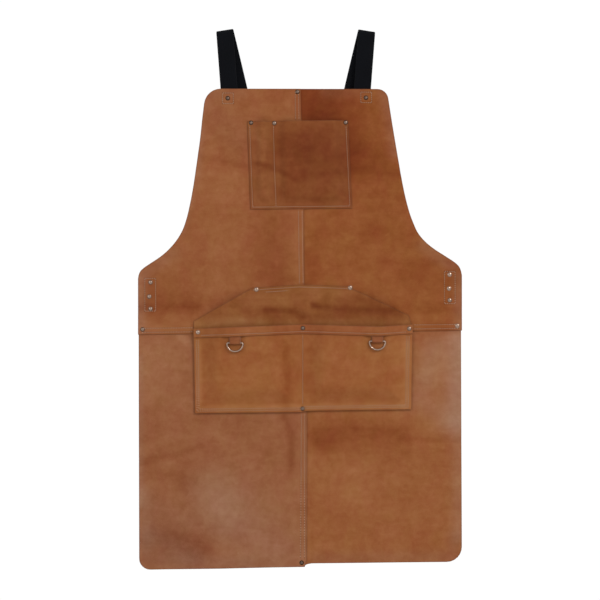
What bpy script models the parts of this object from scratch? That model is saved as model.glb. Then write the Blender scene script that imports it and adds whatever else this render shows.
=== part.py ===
"""Leather welding apron with bib pocket, hand pocket, tool pocket, webbing harness and belt.

Frame: metres, +Z up, the front of the apron faces -Y, X to the right as seen from the front.
The origin lies on the apron's middle, level with the insides of the two shoulder folds, so the
apron hangs below it.
All driving sizes are in millimetres and are scaled once, by MM.
"""

import math

import bmesh
import bpy
from mathutils import Vector
from mathutils.geometry import delaunay_2d_cdt

MM = 0.001

# Leather and webbing
LEATHER = 1.6
WEB = 1.6
GAP = 0.3
PITCH = LEATHER + GAP

# Front faces of the four flat panels, back to front, in y
SKIRT_R = 0.0
SKIRT_L = SKIRT_R - PITCH
BIB_R = SKIRT_L - PITCH
BIB_L = BIB_R - PITCH

# Outline of the apron, (x, z), with a third value where a corner is rounded
SIDE_L, SIDE_R = -307.4, 307.5
TOP = -110.1
TOP_L, TOP_R = (-178.6, -109.7, 32.0), (164.8, -110.5, 21.0)
ARMHOLE_L = [(-185.8, -169), (-189.8, -208), (-193.2, -231), (-202.7, -299), (-212.0, -345),
             (-218.6, -368), (-224.4, -382), (-233.4, -397), (-246.2, -412.5), (-262.5, -427.5),
             (-284.0, -441.5), (-299.0, -451.5), (-305.3, -459.5), (SIDE_L, -470)]
ARMHOLE_R = [(168.0, -131), (173.9, -169), (180.4, -208), (184.3, -231), (196.0, -299),
             (207.4, -345), (216.5, -368), (222.6, -382), (234.1, -397), (251.6, -412.3),
             (275.8, -427.5), (297.0, -441.2), (304.6, -450.5), (SIDE_R, -464)]
WAIST_L, WAIST_R = -576.8, -568.9
SKIRT_TOP = -548.0
SKIRT_SIDE_L = [(-306.4, SKIRT_TOP), (-305.3, -1023.4, 21.0)]
SKIRT_SIDE_R = [(307.6, -1008.3, 29.0), (305.8, SKIRT_TOP)]
HEM_L = [(-255, -1022.5), (-150, -1021.3), (-60, -1019), (0, -1018), (9, -1017.8)]
SKIRT_LAP = [(12.6, -1006), (13.1, -900), (13.4, -760), (13.5, SKIRT_TOP)]
HEM_R = [(-6, -1017), (6, -1016.6), (14, -1012.8), (22, -1011.3), (266, -1008.7)]

# Pockets, (x, z)
BIB_POCKET = [(-94, -339), (99, -337), (91, -170), (-100, -172)]
POCKET_FLOOR = [(-199.5, -726), (2, -724), (9, -721.6), (211.7, -718.8)]
HAND_POCKET = POCKET_FLOOR + [
    (213, -560), (206, -540), (100, -490), (91, -485), (0, -482), (-90, -488), (-202, -551), (-202, -565)]
TOOL_TOP = [(214, -557), (152, -561), (6, -557), (-202, -565)]
TOOL_POCKET = POCKET_FLOOR + TOOL_TOP
BAND_HEIGHT = 18.0
DIVIDER_X = 1.5
PUFF_BIB, PUFF_HAND, PUFF_TOOL = 6.6, 7.0, 6.8

# Rivets
CAP_R, CAP_H, SHANK_R, HOLE_R, TAIL_R = 4.3, 1.5, 1.25, 1.7, 3.4

# Harness and belt
STRAP_W, BELT_W = 32.0, 38.0
MID_X = -8.1
BACK_Y = 11.0
BELT_Y = BACK_Y - WEB - GAP
BELT_TILT = math.radians(1.513)
GLIDE_UP = 90.0

# D-rings
WIRE_R, RING_HALF, RING_DROP, TAB_HALF, TAB_R = 1.5, 15.0, 16.1, 11.5, 3.15
RINGS = {"left": (-122.7, -592.0), "right": (146.2, -588.7)}


def lerp(a, b, t):
    return a + (b - a) * t


def clamp(t):
    return max(0.0, min(1.0, t))


def smooth(t):
    t = clamp(t)
    return t * t * (3 - 2 * t)


def waist(x):
    return lerp(WAIST_L, WAIST_R, (x - SIDE_L) / (SIDE_R - SIDE_L))


def distance(p, a, b):
    ab, ap = Vector(b) - Vector(a), Vector(p) - Vector(a)
    t = clamp(ap.dot(ab) / ab.length_squared) if ab.length else 0.0
    return (ap - ab * t).length


def puff(x, z, seams, height, reach):
    """How far a pocket stands off: zero near its seams and rivets, full height away from them."""
    d = min(distance((x, z), a, b) for a, b in seams) - 6.0
    return height * smooth(d / reach)


BIB_SEAMS = [((-94, -174.6), (-93, -335)), ((-93, -335), (95, -333)), ((95, -333), (86.6, -174)),
             ((-48.6, -175.6), (-45, -338))]
HAND_SEAMS = [((-197, -555), (-195.5, -722)), ((-195.5, -722), (207, -717)),
              ((207, -717), (208.5, -545)), ((-82.7, -491.2), (95.2, -487.9)),
              ((DIVIDER_X, -562), (DIVIDER_X, -724))]
TOOL_SEAMS = HAND_SEAMS[:2] + [((207, -717), (208.5, -557)), ((DIVIDER_X, -557), (DIVIDER_X, -724)),
                               ((5.5, -564.3), (5.5, -557)), ((-193.4, -572.1), (-197, -572.1))]


def ground(x, z, x0, x1):
    """Front of the panels under a pocket, with ramps over the centre lap and the waist lap."""
    s = clamp((-580 - z) / 135)
    return lerp(lerp(BIB_L, SKIRT_L, s), lerp(BIB_R, SKIRT_R, s), clamp((x - x0) / (x1 - x0))) - GAP


def bib_pocket_y(x, z):
    return ground(x, z, 7, 21) - puff(x, z, BIB_SEAMS, PUFF_BIB, 17)


def hand_pocket_y(x, z):
    return ground(x, z, 15, 31) - puff(x, z, HAND_SEAMS, PUFF_HAND, 42)


def tool_pocket_y(x, z):
    return hand_pocket_y(x, z) - LEATHER - 0.9 - puff(x, z, TOOL_SEAMS, PUFF_TOOL, 42)


def band_y(x, z):
    lift = max(smooth((TAB_HALF + 16 - abs(x - rx)) / 12) for rx, _ in RINGS.values())
    return tool_pocket_y(x, z) - LEATHER - 0.5 - 3.3 * lift


def material(name, colour, rough, metal=0.0):
    mat = bpy.data.materials.new(name)
    mat.use_nodes = True
    shader = mat.node_tree.nodes["Principled BSDF"]
    shader.inputs["Base Color"].default_value = (*colour, 1.0)
    shader.inputs["Roughness"].default_value = rough
    shader.inputs["Metallic"].default_value = metal
    return mat


def collection(name, hidden=False):
    coll = bpy.data.collections.new(name)
    bpy.context.scene.collection.children.link(coll)
    coll.hide_render = hidden
    return coll


def add(name, mesh, colour, rough, metal=0.0):
    ob = bpy.data.objects.new(name, mesh)
    parts.objects.link(ob)
    mesh.materials.append(material(name, colour, rough, metal))
    return ob


LEATHER_BROWN = ((0.27, 0.11, 0.045), 0.6)
DARK_WEB = ((0.010, 0.012, 0.018), 0.85)
NICKEL = ((0.52, 0.50, 0.47), 0.32, 1.0)
BLACK_PLASTIC = ((0.012, 0.012, 0.013), 0.45)


def rounded(points, steps=5):
    """Polygon with fillets: each point is (x, z) or (x, z, radius)."""
    out = []
    for i, p in enumerate(points):
        if len(p) == 2:
            out.append(Vector(p))
            continue
        c = Vector(p[:2])
        a = (Vector(points[i - 1][:2]) - c).normalized()
        b = (Vector(points[(i + 1) % len(points)][:2]) - c).normalized()
        half = a.angle(b) / 2
        centre = c + (a + b).normalized() * (p[2] / math.sin(half))
        start, end = c + a * (p[2] / math.tan(half)) - centre, c + b * (p[2] / math.tan(half)) - centre
        turn = start.angle_signed(end)
        for k in range(steps + 1):
            ang = -turn * k / steps
            cs, sn = math.cos(ang), math.sin(ang)
            out.append(centre + Vector((start.x * cs - start.y * sn, start.x * sn + start.y * cs)))
    return out


def split_at(points, us, vs):
    """The outline with a vertex wherever it crosses one of the lines u = us or v = vs."""
    out = []
    for a, b in zip(points, points[1:] + points[:1]):
        cuts = {0.0}
        for axis, lines in ((0, us), (1, vs)):
            for line in lines:
                if (a[axis] - line) * (b[axis] - line) < 0:
                    cuts.add((line - a[axis]) / (b[axis] - a[axis]))
        kept = []
        for t in sorted(cuts):
            p = a.lerp(b, t)
            if all((p - q).length > 1.2 for q in kept) and (t == 0 or (p - b).length > 1.2):
                kept.append(p)
        out += kept
    return out


def inside(p, poly):
    hit = False
    for a, b in zip(poly, poly[1:] + poly[:1]):
        if (a[1] > p[1]) != (b[1] > p[1]) and p[0] < lerp(a[0], b[0], (p[1] - a[1]) / (b[1] - a[1])):
            hit = not hit
    return hit


def sheet(name, outline, holes, us, vs, place, thick, offset, look, edge=2.5, collar=0.0):
    """A leather or webbing piece: a flat outline with rivet holes, meshed and then put in place.

    place maps the flat (u, v) to a point in mm; the piece grows from that surface by offset.
    collar is the radius of a ring of vertices that keeps the piece flat under a rivet's cap.
    """
    outer = split_at([Vector(p) for p in outline], us, vs)
    points, edges = list(outer), [(i, (i + 1) % len(outer)) for i in range(len(outer))]
    for hx, hz in holes:
        base = len(points)
        for k in range(10):
            ang = 2 * math.pi * k / 10
            points.append(Vector((hx + HOLE_R * math.cos(ang), hz + HOLE_R * math.sin(ang))))
            edges.append((base + k, base + (k + 1) % 10))
        for k in range(10 if collar else 0):
            ang = 2 * math.pi * (k + 0.5) / 10
            p = Vector((hx + collar * math.cos(ang), hz + collar * math.sin(ang)))
            if inside(p, outer):
                points.append(p)
    for u in us:
        for v in vs:
            p = Vector((u, v))
            clear = min(distance(p, a, b) for a, b in zip(outer, outer[1:] + outer[:1]))
            far = all((p - Vector(h)).length > max(HOLE_R, collar) + edge for h in holes)
            if inside(p, outer) and clear > edge and far:
                points.append(p)
    flat, _, faces, *_ = delaunay_2d_cdt(points, edges, [], 1, 1e-5)
    bm = bmesh.new()
    verts = [bm.verts.new(Vector(place(p.x, p.y)) * MM) for p in flat]
    for f in faces:
        mid = sum((flat[i] for i in f), Vector((0, 0))) / len(f)
        if any((mid - Vector(h)).length < HOLE_R for h in holes):
            continue
        a, b, c = (flat[i] for i in f[:3])
        turn = (b - a).cross(c - a)
        if abs(turn) > 1e-6:
            bm.faces.new([verts[i] for i in (f if turn > 0 else reversed(f))])
    bmesh.ops.delete(bm, geom=[v for v in bm.verts if not v.link_faces], context="VERTS")
    mesh = bpy.data.meshes.new(name)
    bm.to_mesh(mesh)
    bm.free()
    ob = add(name, mesh, *look)
    solid = ob.modifiers.new("thickness", "SOLIDIFY")
    solid.thickness, solid.offset = thick * MM, offset
    return ob


def lines(start, stop, count):
    return [lerp(start, stop, i / (count - 1)) for i in range(count)]


def flat_at(y):
    return lambda x, z: (x, y + LEATHER, z)


def box_mesh(name, lo, hi):
    bm = bmesh.new()
    bmesh.ops.create_cube(bm, size=1.0)
    for v in bm.verts:
        for k in range(3):
            v.co[k] = (lo[k] if v.co[k] < 0 else hi[k]) * MM
    mesh = bpy.data.meshes.new(name)
    bm.to_mesh(mesh)
    bm.free()
    return mesh


def moulding(name, base, joins, cuts, look):
    """A moulded part: a base box with boxes joined to it and boxes cut from it."""
    ob = add(name, box_mesh(name, *base), *look)
    for operation, boxes in (("DIFFERENCE", cuts), ("UNION", joins)):
        for i, b in enumerate(boxes):
            tool = bpy.data.objects.new(f"{name}_{operation.lower()}_{i}", box_mesh("tool", *b))
            tool.display_type = "WIRE"
            cutters.objects.link(tool)
            tool.parent = ob
            mod = ob.modifiers.new(tool.name[-40:], "BOOLEAN")
            mod.operation, mod.solver, mod.object = operation, "EXACT", tool
    return ob


def rivet(name, x, z, front, back):
    """Domed cap in front, shank through the layers, flat tail behind."""
    deep = front - GAP - (back + GAP)
    profile = [(0, CAP_H), (1.9, CAP_H * 0.9), (3.4, CAP_H * 0.6), (CAP_R, CAP_H * 0.12), (CAP_R - 0.2, 0),
               (SHANK_R, 0), (SHANK_R, deep), (TAIL_R, deep), (TAIL_R - 0.5, deep - 0.8), (0, deep - 0.9)]
    mesh = bpy.data.meshes.new(name)
    mesh.from_pydata([(r * MM, 0, h * MM) for r, h in profile], [(i, i + 1) for i in range(9)], [])
    ob = add(name, mesh, *NICKEL)
    ob.location = (x * MM, (front - GAP) * MM, z * MM)
    ob.rotation_euler = (math.pi / 2, 0, 0)
    spin = ob.modifiers.new("spin", "SCREW")
    spin.axis, spin.steps, spin.render_steps = "Z", 12, 12
    spin.use_merge_vertices, spin.merge_threshold = True, 1e-5
    return ob


# Shoulder straps: each runs up behind the bib, over the shoulder, and down to the belt.
LEAN, FOLD = math.radians(4.35), math.radians(9.0)
UP = Vector((-math.sin(LEAN), math.cos(LEAN)))
ACROSS = Vector((math.cos(LEAN), math.sin(LEAN)))
FOLD_AXIS = Vector((math.cos(FOLD), math.sin(FOLD)))
FOLD_UP = Vector((-math.sin(FOLD), math.cos(FOLD)))
FOLD_START = Vector((-142.8, -5.55))
IN_PLANE_BEND = 4.3e-5
STRAP_FRONT = {"left": BIB_L + LEATHER + GAP + WEB / 2, "right": BIB_R + LEATHER + GAP + WEB / 2}
BOTTOM_S, BOTTOM_R = 550.0, WEB / 2 + 1.1


def strap_point(side, s, w, y=None):
    """Point of the webbing at length s from the start of the shoulder fold and offset w."""
    front = STRAP_FRONT[side]
    r = (BACK_Y - front) / 2
    q = s * UP + w * ACROSS
    h, g = q.dot(FOLD_UP), q.dot(FOLD_AXIS)
    depth, bend = front, 0.0
    if h > math.pi * r:
        down = h - math.pi * r
        depth, bend, rise = BACK_Y, -IN_PLANE_BEND * down * down, -down
    elif h > 0:
        depth, rise = front + r * (1 - math.cos(h / r)), r * math.sin(h / r)
    else:
        rise = h
    p = FOLD_START + g * FOLD_AXIS + rise * FOLD_UP
    x = p.x + bend
    return (x if side == "left" else 2 * MID_X - x, depth if y is None else y, p.y)


def strap_place(side):
    """The shoulder fold, the back run, and the turn under the belt's lower edge."""
    def place(s, w):
        t = s - BOTTOM_S
        if t <= 0:
            return strap_point(side, s, w)
        if t < math.pi * BOTTOM_R:
            y = BACK_Y - BOTTOM_R * (1 - math.cos(t / BOTTOM_R))
            return strap_point(side, BOTTOM_S + BOTTOM_R * math.sin(t / BOTTOM_R), w, y)
        return strap_point(side, BOTTOM_S - (t - math.pi * BOTTOM_R), w, BACK_Y - 2 * BOTTOM_R)
    return place


def ribbon_path(points):
    """Piecewise path: returns a function from length to (a, b), with the total length."""
    lengths = [0.0]
    for p, q in zip(points, points[1:]):
        lengths.append(lengths[-1] + math.dist(p, q))

    def at(t):
        for i in range(len(points) - 1):
            if t <= lengths[i + 1] or i == len(points) - 2:
                f = (t - lengths[i]) / (lengths[i + 1] - lengths[i])
                return lerp(points[i][0], points[i + 1][0], f), lerp(points[i][1], points[i + 1][1], f)
    return at, lengths


def turn_points(centre, radius, start, end, steps):
    return [(centre[0] + radius * math.cos(math.radians(lerp(start, end, i / steps))),
             centre[1] + radius * math.sin(math.radians(lerp(start, end, i / steps))))
            for i in range(steps + 1)]


def belt_z(x):
    return -503.0 + (x + 284.0) * math.tan(BELT_TILT)


def belt(name, points, holes, look=DARK_WEB):
    """Belt webbing along a path (x, y) seen from above, on edge, 38 mm high."""
    at, lengths = ribbon_path(points)
    half = BELT_W / 2

    def place(t, v):
        x, y = at(t)
        return (x - v * math.sin(BELT_TILT), y, belt_z(x) + v * math.cos(BELT_TILT))
    outline = [(0, -half), (lengths[-1], -half), (lengths[-1], half), (0, half)]
    flat_holes = [(abs(hx - points[0][0]), hz) for hx, hz in holes]
    return sheet(name, outline, flat_holes, lengths[1:-1], [0.0], place, WEB, 0.0, look, edge=0.8)


for ob in list(bpy.data.objects):
    bpy.data.objects.remove(ob)
parts = collection("welding_apron")
cutters = collection("cutters", hidden=True)

# Rivet positions, (x, z)
STRAP_RIVETS = {"left": (-137.2, -127.9), "right": (125.2, -127.1)}
SIDE_RIVETS = {"left": [(-283.7, -477.5), (-286.0, -504.5), (-283.7, -527.8)],
               "right": [(284.1, -462.8), (282.9, -489.3), (284.2, -511.5)]}
TOP_RIVET, HEM_RIVET, FLOOR_RIVET = (-4.8, -115.9), (3.2, -1009.7), (4.8, -717.1)
BIB_POCKET_RIVETS = [(-92.9, -174.8), (-48.6, -175.6), (86.6, -174.2)]
WAIST_RIVETS = [(-298.7, -566.8), (298.7, -560.1)]
HAND_RIVETS = [(-82.7, -491.2), (95.2, -487.9)]
BAND_RIVETS = [(-193.4, -572.1), (5.5, -564.3), (207.1, -565.3)]

# Leather panels
xs, zs = lines(-290, 290, 9), lines(-150, -980, 11)
sheet("bib_panel_left",
      rounded([(1, TOP), TOP_L] + ARMHOLE_L + [(SIDE_L, WAIST_L), (12, waist(12)), (8.6, -483), (7.2, -340)]),
      [STRAP_RIVETS["left"], TOP_RIVET, *BIB_POCKET_RIVETS[:2], *SIDE_RIVETS["left"], WAIST_RIVETS[0],
       HAND_RIVETS[0], *BAND_RIVETS[:2]], xs, zs, flat_at(BIB_L), LEATHER, 1.0, LEATHER_BROWN)
sheet("bib_panel_right",
      rounded([(-11, waist(-11)), (SIDE_R, WAIST_R)] + ARMHOLE_R[::-1] + [TOP_R, (-14, TOP)]),
      [STRAP_RIVETS["right"], TOP_RIVET, BIB_POCKET_RIVETS[2], *SIDE_RIVETS["right"], WAIST_RIVETS[1],
       HAND_RIVETS[1], *BAND_RIVETS[1:]], xs, zs, flat_at(BIB_R), LEATHER, 1.0, LEATHER_BROWN)
sheet("skirt_panel_left",
      rounded(SKIRT_SIDE_L + HEM_L + SKIRT_LAP),
      [WAIST_RIVETS[0], *BAND_RIVETS[:2], FLOOR_RIVET, HEM_RIVET], xs, zs, flat_at(SKIRT_L), LEATHER, 1.0,
      LEATHER_BROWN)
sheet("skirt_panel_right",
      rounded([(-6, SKIRT_TOP)] + HEM_R + SKIRT_SIDE_R),
      [WAIST_RIVETS[1], *BAND_RIVETS[1:], FLOOR_RIVET, HEM_RIVET], xs, zs, flat_at(SKIRT_R), LEATHER, 1.0,
      LEATHER_BROWN)

# Pockets, band and ring tabs
tab_xs = [rx + dx for rx, _ in RINGS.values() for dx in (-28, -15.5, 15.5, 28)]
pocket_xs = lines(-186, -14, 12) + [-4, 9, 15, 31] + lines(46, 199, 11)
pocket_xs = [x for x in pocket_xs if min(abs(x - t) for t in tab_xs) > 7] + tab_xs
pocket_zs = lines(-500, -712, 13)
bib_xs = [-86, -74, -64, -54.5, -43, -33, -20, -6, 7, 21, 36, 52, 68, 80]
sheet("bib_pocket", BIB_POCKET, BIB_POCKET_RIVETS, bib_xs, lines(-184, -325, 9),
      lambda x, z: (x, bib_pocket_y(x, z), z), LEATHER, 1.0, LEATHER_BROWN, collar=5.2)
sheet("hand_pocket", HAND_POCKET, HAND_RIVETS + BAND_RIVETS + [FLOOR_RIVET], pocket_xs, pocket_zs,
      lambda x, z: (x, hand_pocket_y(x, z), z), LEATHER, 1.0, LEATHER_BROWN, collar=5.2)
sheet("tool_pocket", TOOL_POCKET, BAND_RIVETS + [FLOOR_RIVET], pocket_xs, pocket_zs,
      lambda x, z: (x, tool_pocket_y(x, z), z), LEATHER, 1.0, LEATHER_BROWN, collar=5.2)
sheet("tool_pocket_band", [(x, z - BAND_HEIGHT) for x, z in TOOL_TOP[::-1]] + TOOL_TOP, BAND_RIVETS,
      pocket_xs, [], lambda x, z: (x, band_y(x, z), z), LEATHER, 1.0, LEATHER_BROWN, collar=5.2)

for side, (rx, rz) in RINGS.items():
    surface = min(tool_pocket_y(rx + dx, z) for dx in (-12, 0, 12) for z in range(int(rz) - 6, -565, 3))
    bar_y = surface - LEATHER - 0.5 - TAB_R
    back = bar_y + TAB_R
    curve = bpy.data.curves.new(f"ring_tab_{side}", "CURVE")
    curve.dimensions, curve.fill_mode, curve.extrude = "2D", "BOTH", TAB_HALF * MM
    loop = [(back, rz + 21), (back, rz)]
    loop += turn_points((bar_y, rz), TAB_R, 0, -180, 8)[1:] + [(back - 2.6, rz + 9), (back - 2.6, rz + 21)]
    for ring in (loop, turn_points((bar_y, rz), WIRE_R + 0.35, 0, 330, 11)):
        spline = curve.splines.new("POLY")
        spline.points.add(len(ring) - 1)
        spline.use_cyclic_u = True
        for point, (y, z) in zip(spline.points, ring):
            point.co = ((y - bar_y) * MM, (z - rz) * MM, 0, 1)
    tab = bpy.data.objects.new(f"ring_tab_{side}", curve)
    parts.objects.link(tab)
    curve.materials.append(material(f"ring_tab_{side}", *LEATHER_BROWN))
    tab.location = (rx * MM, bar_y * MM, rz * MM)
    tab.rotation_euler = (math.pi / 2, 0, math.pi / 2)

    wire = bpy.data.curves.new(f"d_ring_{side}", "CURVE")
    wire.dimensions, wire.bevel_depth, wire.bevel_resolution = "3D", WIRE_R * MM, 2
    path = [(-RING_HALF + 2, 0), (RING_HALF - 2, 0)] + turn_points((RING_HALF - 2, -2), 2, 60, 0, 2)
    low = 2.2
    path += [(RING_HALF * math.cos(a), -low - (RING_DROP - low) * math.sin(a))
             for a in (math.pi * i / 14 for i in range(15))]
    path += turn_points((-RING_HALF + 2, -2), 2, 180, 120, 2)
    spline = wire.splines.new("POLY")
    spline.points.add(len(path) - 1)
    spline.use_cyclic_u = True
    for point, (x, z) in zip(spline.points, path):
        point.co = (x * MM, 0, z * MM, 1)
    ring = bpy.data.objects.new(f"d_ring_{side}", wire)
    parts.objects.link(ring)
    wire.materials.append(material(f"d_ring_{side}", *NICKEL))
    ring.location = tab.location

# Shoulder straps with their adjusters
half = STRAP_W / 2
for side in ("left", "right"):
    hx, hz = STRAP_RIVETS[side]
    p = Vector((hx if side == "left" else 2 * MID_X - hx, hz)) - FOLD_START
    r = (BACK_Y - STRAP_FRONT[side]) / 2
    end = BOTTOM_S + math.pi * BOTTOM_R + 8
    stops = [-60] + lines(-1.5, math.pi * r + 1.5, 11) + lines(120, 480, 4)
    stops += lines(BOTTOM_S, BOTTOM_S + math.pi * BOTTOM_R, 6)
    sheet(f"shoulder_strap_{side}", [(-136, -half), (end, -half), (end, half), (-136, half)],
          [(p.dot(UP), p.dot(ACROSS))], stops, [-8.0, 0.0, 8.0], strap_place(side), WEB, 0.0,
          DARK_WEB, edge=0.3)

    path = [(8.4, BACK_Y - 2 * BOTTOM_R), (60, 4.0)]
    path += turn_points((GLIDE_UP + 1.6, 6.0), 2.0, 270, 450, 6) + [(GLIDE_UP - 16, 7.6)]
    at, lengths = ribbon_path(path)

    def loop_place(t, w, at=at, side=side):
        rise, y = at(t)
        return strap_point(side, BOTTOM_S - rise, w, y)
    sheet(f"strap_loop_{side}",
          [(0, -half), (lengths[-1], -half), (lengths[-1], half), (0, half)], [], lengths[1:-1], [0.0],
          loop_place, WEB, 0.0, DARK_WEB, edge=0.3)

    lo, hi = (strap_point(side, BOTTOM_S - GLIDE_UP, w) for w in (-half, half))
    cx, _, cz = strap_point(side, BOTTOM_S - GLIDE_UP, 0)
    rail = half + 3.8
    glide = moulding(
        f"strap_adjuster_{side}", ((-rail, 12.1, -12), (rail, 14.5, 12)),
        [((-rail, 5.1, -3), (-half - 0.7, 12.9, 3)), ((half + 0.7, 5.1, -3), (rail, 12.9, 3)),
         ((-rail + 0.4, 5.3, -2), (rail - 0.4, 6.9, 2))],
        [((-half - 0.7, 11, -8.5), (half + 0.7, 16, 8.5))], BLACK_PLASTIC)
    glide.location = (cx * MM, 0, cz * MM)
    glide.rotation_euler = (0, -math.atan((hi[2] - lo[2]) / (hi[0] - lo[0])), 0)

# Waist belt, its clamped ends and the side-release buckle
BUCKLE_X, BAR = -120.0, 3.2
flat_l, flat_r = STRAP_FRONT["left"], STRAP_FRONT["right"]
socket_bar, plug_bar = BUCKLE_X - 32.5, BUCKLE_X + 16.5
belt("waist_belt_left",
     [(-298, flat_l), (-266, flat_l), (-245, -1.0), (-222, 3.0), (-200, 5.2), (-180, BELT_Y - BAR)]
     + turn_points((socket_bar, BELT_Y), BAR, -90, 90, 8) + [(socket_bar - 14, 10.2), (-190, 7.8)],
     [(x, (z - belt_z(x)) / math.cos(BELT_TILT)) for x, z in SIDE_RIVETS["left"]])
belt("waist_belt_right",
     [(298, flat_r), (266, flat_r), (240, 0.6), (215, 4.2), (190, 7.4), (165, BELT_Y), (60, BELT_Y),
      (-66, BELT_Y), (-86, 7.2), (plug_bar + 8, BELT_Y - BAR)]
     + turn_points((plug_bar, BELT_Y), BAR, 270, 90, 8) + [(plug_bar + 10, BELT_Y + BAR), (-70, 11.1)],
     [(x, (z - belt_z(x)) / math.cos(BELT_TILT)) for x, z in SIDE_RIVETS["right"]])
for side, y in (("left", flat_l), ("right", flat_r)):
    px = sum(x for x, _ in SIDE_RIVETS[side]) / 3
    pz = sum(z for _, z in SIDE_RIVETS[side]) / 3
    corners = [(px - 13, pz - 36, 4), (px + 13, pz - 36, 4), (px + 13, pz + 36, 4), (px - 13, pz + 36, 4)]
    sheet(f"side_patch_{side}", rounded(corners, 3), SIDE_RIVETS[side], [], [],
          flat_at(y + WEB / 2 + GAP), LEATHER, 1.0, LEATHER_BROWN)

lo, hi = BELT_Y - 4.5, BELT_Y + 4.5
socket = moulding(
    "buckle_socket", ((-34, lo, -24), (2, hi, 24)), [],
    [((-20, BELT_Y - 2.8, -20), (3, BELT_Y + 2.8, 20)), ((-16, BELT_Y - 2.8, -26), (-5, BELT_Y + 2.8, 26)),
     ((-31, lo - 1, -20.5), (-24, hi + 1, 20.5)), ((-36, lo - 1, -20.5), (-30.9, BELT_Y - 1.5, 20.5)),
     ((-36, BELT_Y + 1.5, -20.5), (-30.9, hi + 1, 20.5))], BLACK_PLASTIC)
plug = moulding(
    "buckle_plug", ((2.4, BELT_Y - 4, -23), (18, BELT_Y + 4, 23)),
    [((-15, BELT_Y - 1.6, -2.5), (4, BELT_Y + 1.6, 2.5)), ((-15, BELT_Y - 2, 12), (4, BELT_Y + 2, 15)),
     ((-15, BELT_Y - 2, -15), (4, BELT_Y + 2, -12)), ((-15, BELT_Y - 2, 14), (-7, BELT_Y + 2, 19.4)),
     ((-15, BELT_Y - 2, -19.4), (-7, BELT_Y + 2, -14))],
    [((8.5, lo - 1, -20.5), (15, hi + 1, 20.5)), ((14.9, lo - 1, -20.5), (19, BELT_Y - 1.5, 20.5)),
     ((14.9, BELT_Y + 1.5, -20.5), (19, hi + 1, 20.5))], BLACK_PLASTIC)
for ob in (socket, plug):
    ob.location = (BUCKLE_X * MM, 0, belt_z(BUCKLE_X) * MM)
    ob.rotation_euler = (0, -BELT_TILT, 0)

# Rivets: (name, position, front of the top layer, back of the last layer)
bib_l, bib_r = BIB_L + LEATHER, BIB_R + LEATHER
skirt_l, skirt_r = SKIRT_L + LEATHER, SKIRT_R + LEATHER
strap_l, strap_r = STRAP_FRONT["left"] + WEB / 2, STRAP_FRONT["right"] + WEB / 2
on = {"bib": bib_pocket_y, "hand": hand_pocket_y, "tool": tool_pocket_y, "band": band_y}


def outside(layer, p):
    return on[layer](*p) - LEATHER


rivet("rivet_strap_left", *STRAP_RIVETS["left"], BIB_L, strap_l)
rivet("rivet_strap_right", *STRAP_RIVETS["right"], BIB_R, strap_r)
rivet("rivet_bib_top", *TOP_RIVET, BIB_L, bib_r)
for name, p, back in zip(("outer", "divider", "inner"), BIB_POCKET_RIVETS, (bib_l, bib_l, bib_r)):
    rivet(f"rivet_bib_pocket_{name}", *p, outside("bib", p), back)
for side, front, back in (("left", BIB_L, strap_l), ("right", BIB_R, strap_r)):
    for name, p in zip(("upper", "middle", "lower"), SIDE_RIVETS[side]):
        rivet(f"rivet_side_{side}_{name}", *p, front, back + GAP + LEATHER)
for side, p, q, front, skirt, bib in (
        ("left", WAIST_RIVETS[0], HAND_RIVETS[0], BIB_L, skirt_l, bib_l),
        ("right", WAIST_RIVETS[1], HAND_RIVETS[1], BIB_R, skirt_r, bib_r)):
    rivet(f"rivet_waist_{side}", *p, front, skirt)
    rivet(f"rivet_hand_pocket_{side}", *q, outside("hand", q), bib)
for name, p, back in zip(("left", "middle", "right"), BAND_RIVETS, (skirt_l, skirt_r, skirt_r)):
    rivet(f"rivet_band_{name}", *p, outside("band", p), back)
rivet("rivet_pocket_floor", *FLOOR_RIVET, outside("tool", FLOOR_RIVET), skirt_r)
rivet("rivet_hem", *HEM_RIVET, SKIRT_L, skirt_r)
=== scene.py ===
"""Looks of the leather welding apron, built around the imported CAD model.

Lengths in this file are in millimetres unless a name says otherwise, and MM turns them into metres.
The frame is the CAD's: +Z up, the front of the apron faces -Y, and the origin is on its middle,
level with the insides of the two shoulder folds.
"""

import math

import bpy
import numpy as np
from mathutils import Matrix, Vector, kdtree
from mathutils.geometry import delaunay_2d_cdt


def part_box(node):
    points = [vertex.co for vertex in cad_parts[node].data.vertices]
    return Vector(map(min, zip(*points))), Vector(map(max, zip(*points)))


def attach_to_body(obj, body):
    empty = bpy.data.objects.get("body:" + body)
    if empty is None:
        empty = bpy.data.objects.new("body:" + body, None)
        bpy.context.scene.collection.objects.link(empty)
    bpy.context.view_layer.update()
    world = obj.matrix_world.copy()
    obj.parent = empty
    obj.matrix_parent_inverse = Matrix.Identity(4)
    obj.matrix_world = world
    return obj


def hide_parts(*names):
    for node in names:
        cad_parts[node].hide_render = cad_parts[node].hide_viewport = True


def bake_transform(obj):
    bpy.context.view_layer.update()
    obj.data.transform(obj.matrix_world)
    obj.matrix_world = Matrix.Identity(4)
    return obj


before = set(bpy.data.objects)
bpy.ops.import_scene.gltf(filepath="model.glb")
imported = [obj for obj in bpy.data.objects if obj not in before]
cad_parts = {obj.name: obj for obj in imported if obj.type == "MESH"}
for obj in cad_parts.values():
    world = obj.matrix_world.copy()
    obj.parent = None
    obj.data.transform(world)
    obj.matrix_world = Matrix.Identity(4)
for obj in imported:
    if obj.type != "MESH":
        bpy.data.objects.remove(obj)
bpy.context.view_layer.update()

MM = 0.001

# ---- sizes shared with the CAD

# An outline point is (x, z), with the radius of its corner as a third value where it has one.

LEATHER, WEB, GAP = 1.6, 1.6, 0.3  # thicknesses, and the gap between layers
PITCH = LEATHER + GAP
SKIRT_R, SKIRT_L, BIB_R, BIB_L = 0.0, -PITCH, -2 * PITCH, -3 * PITCH  # y of each panel's front

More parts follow.
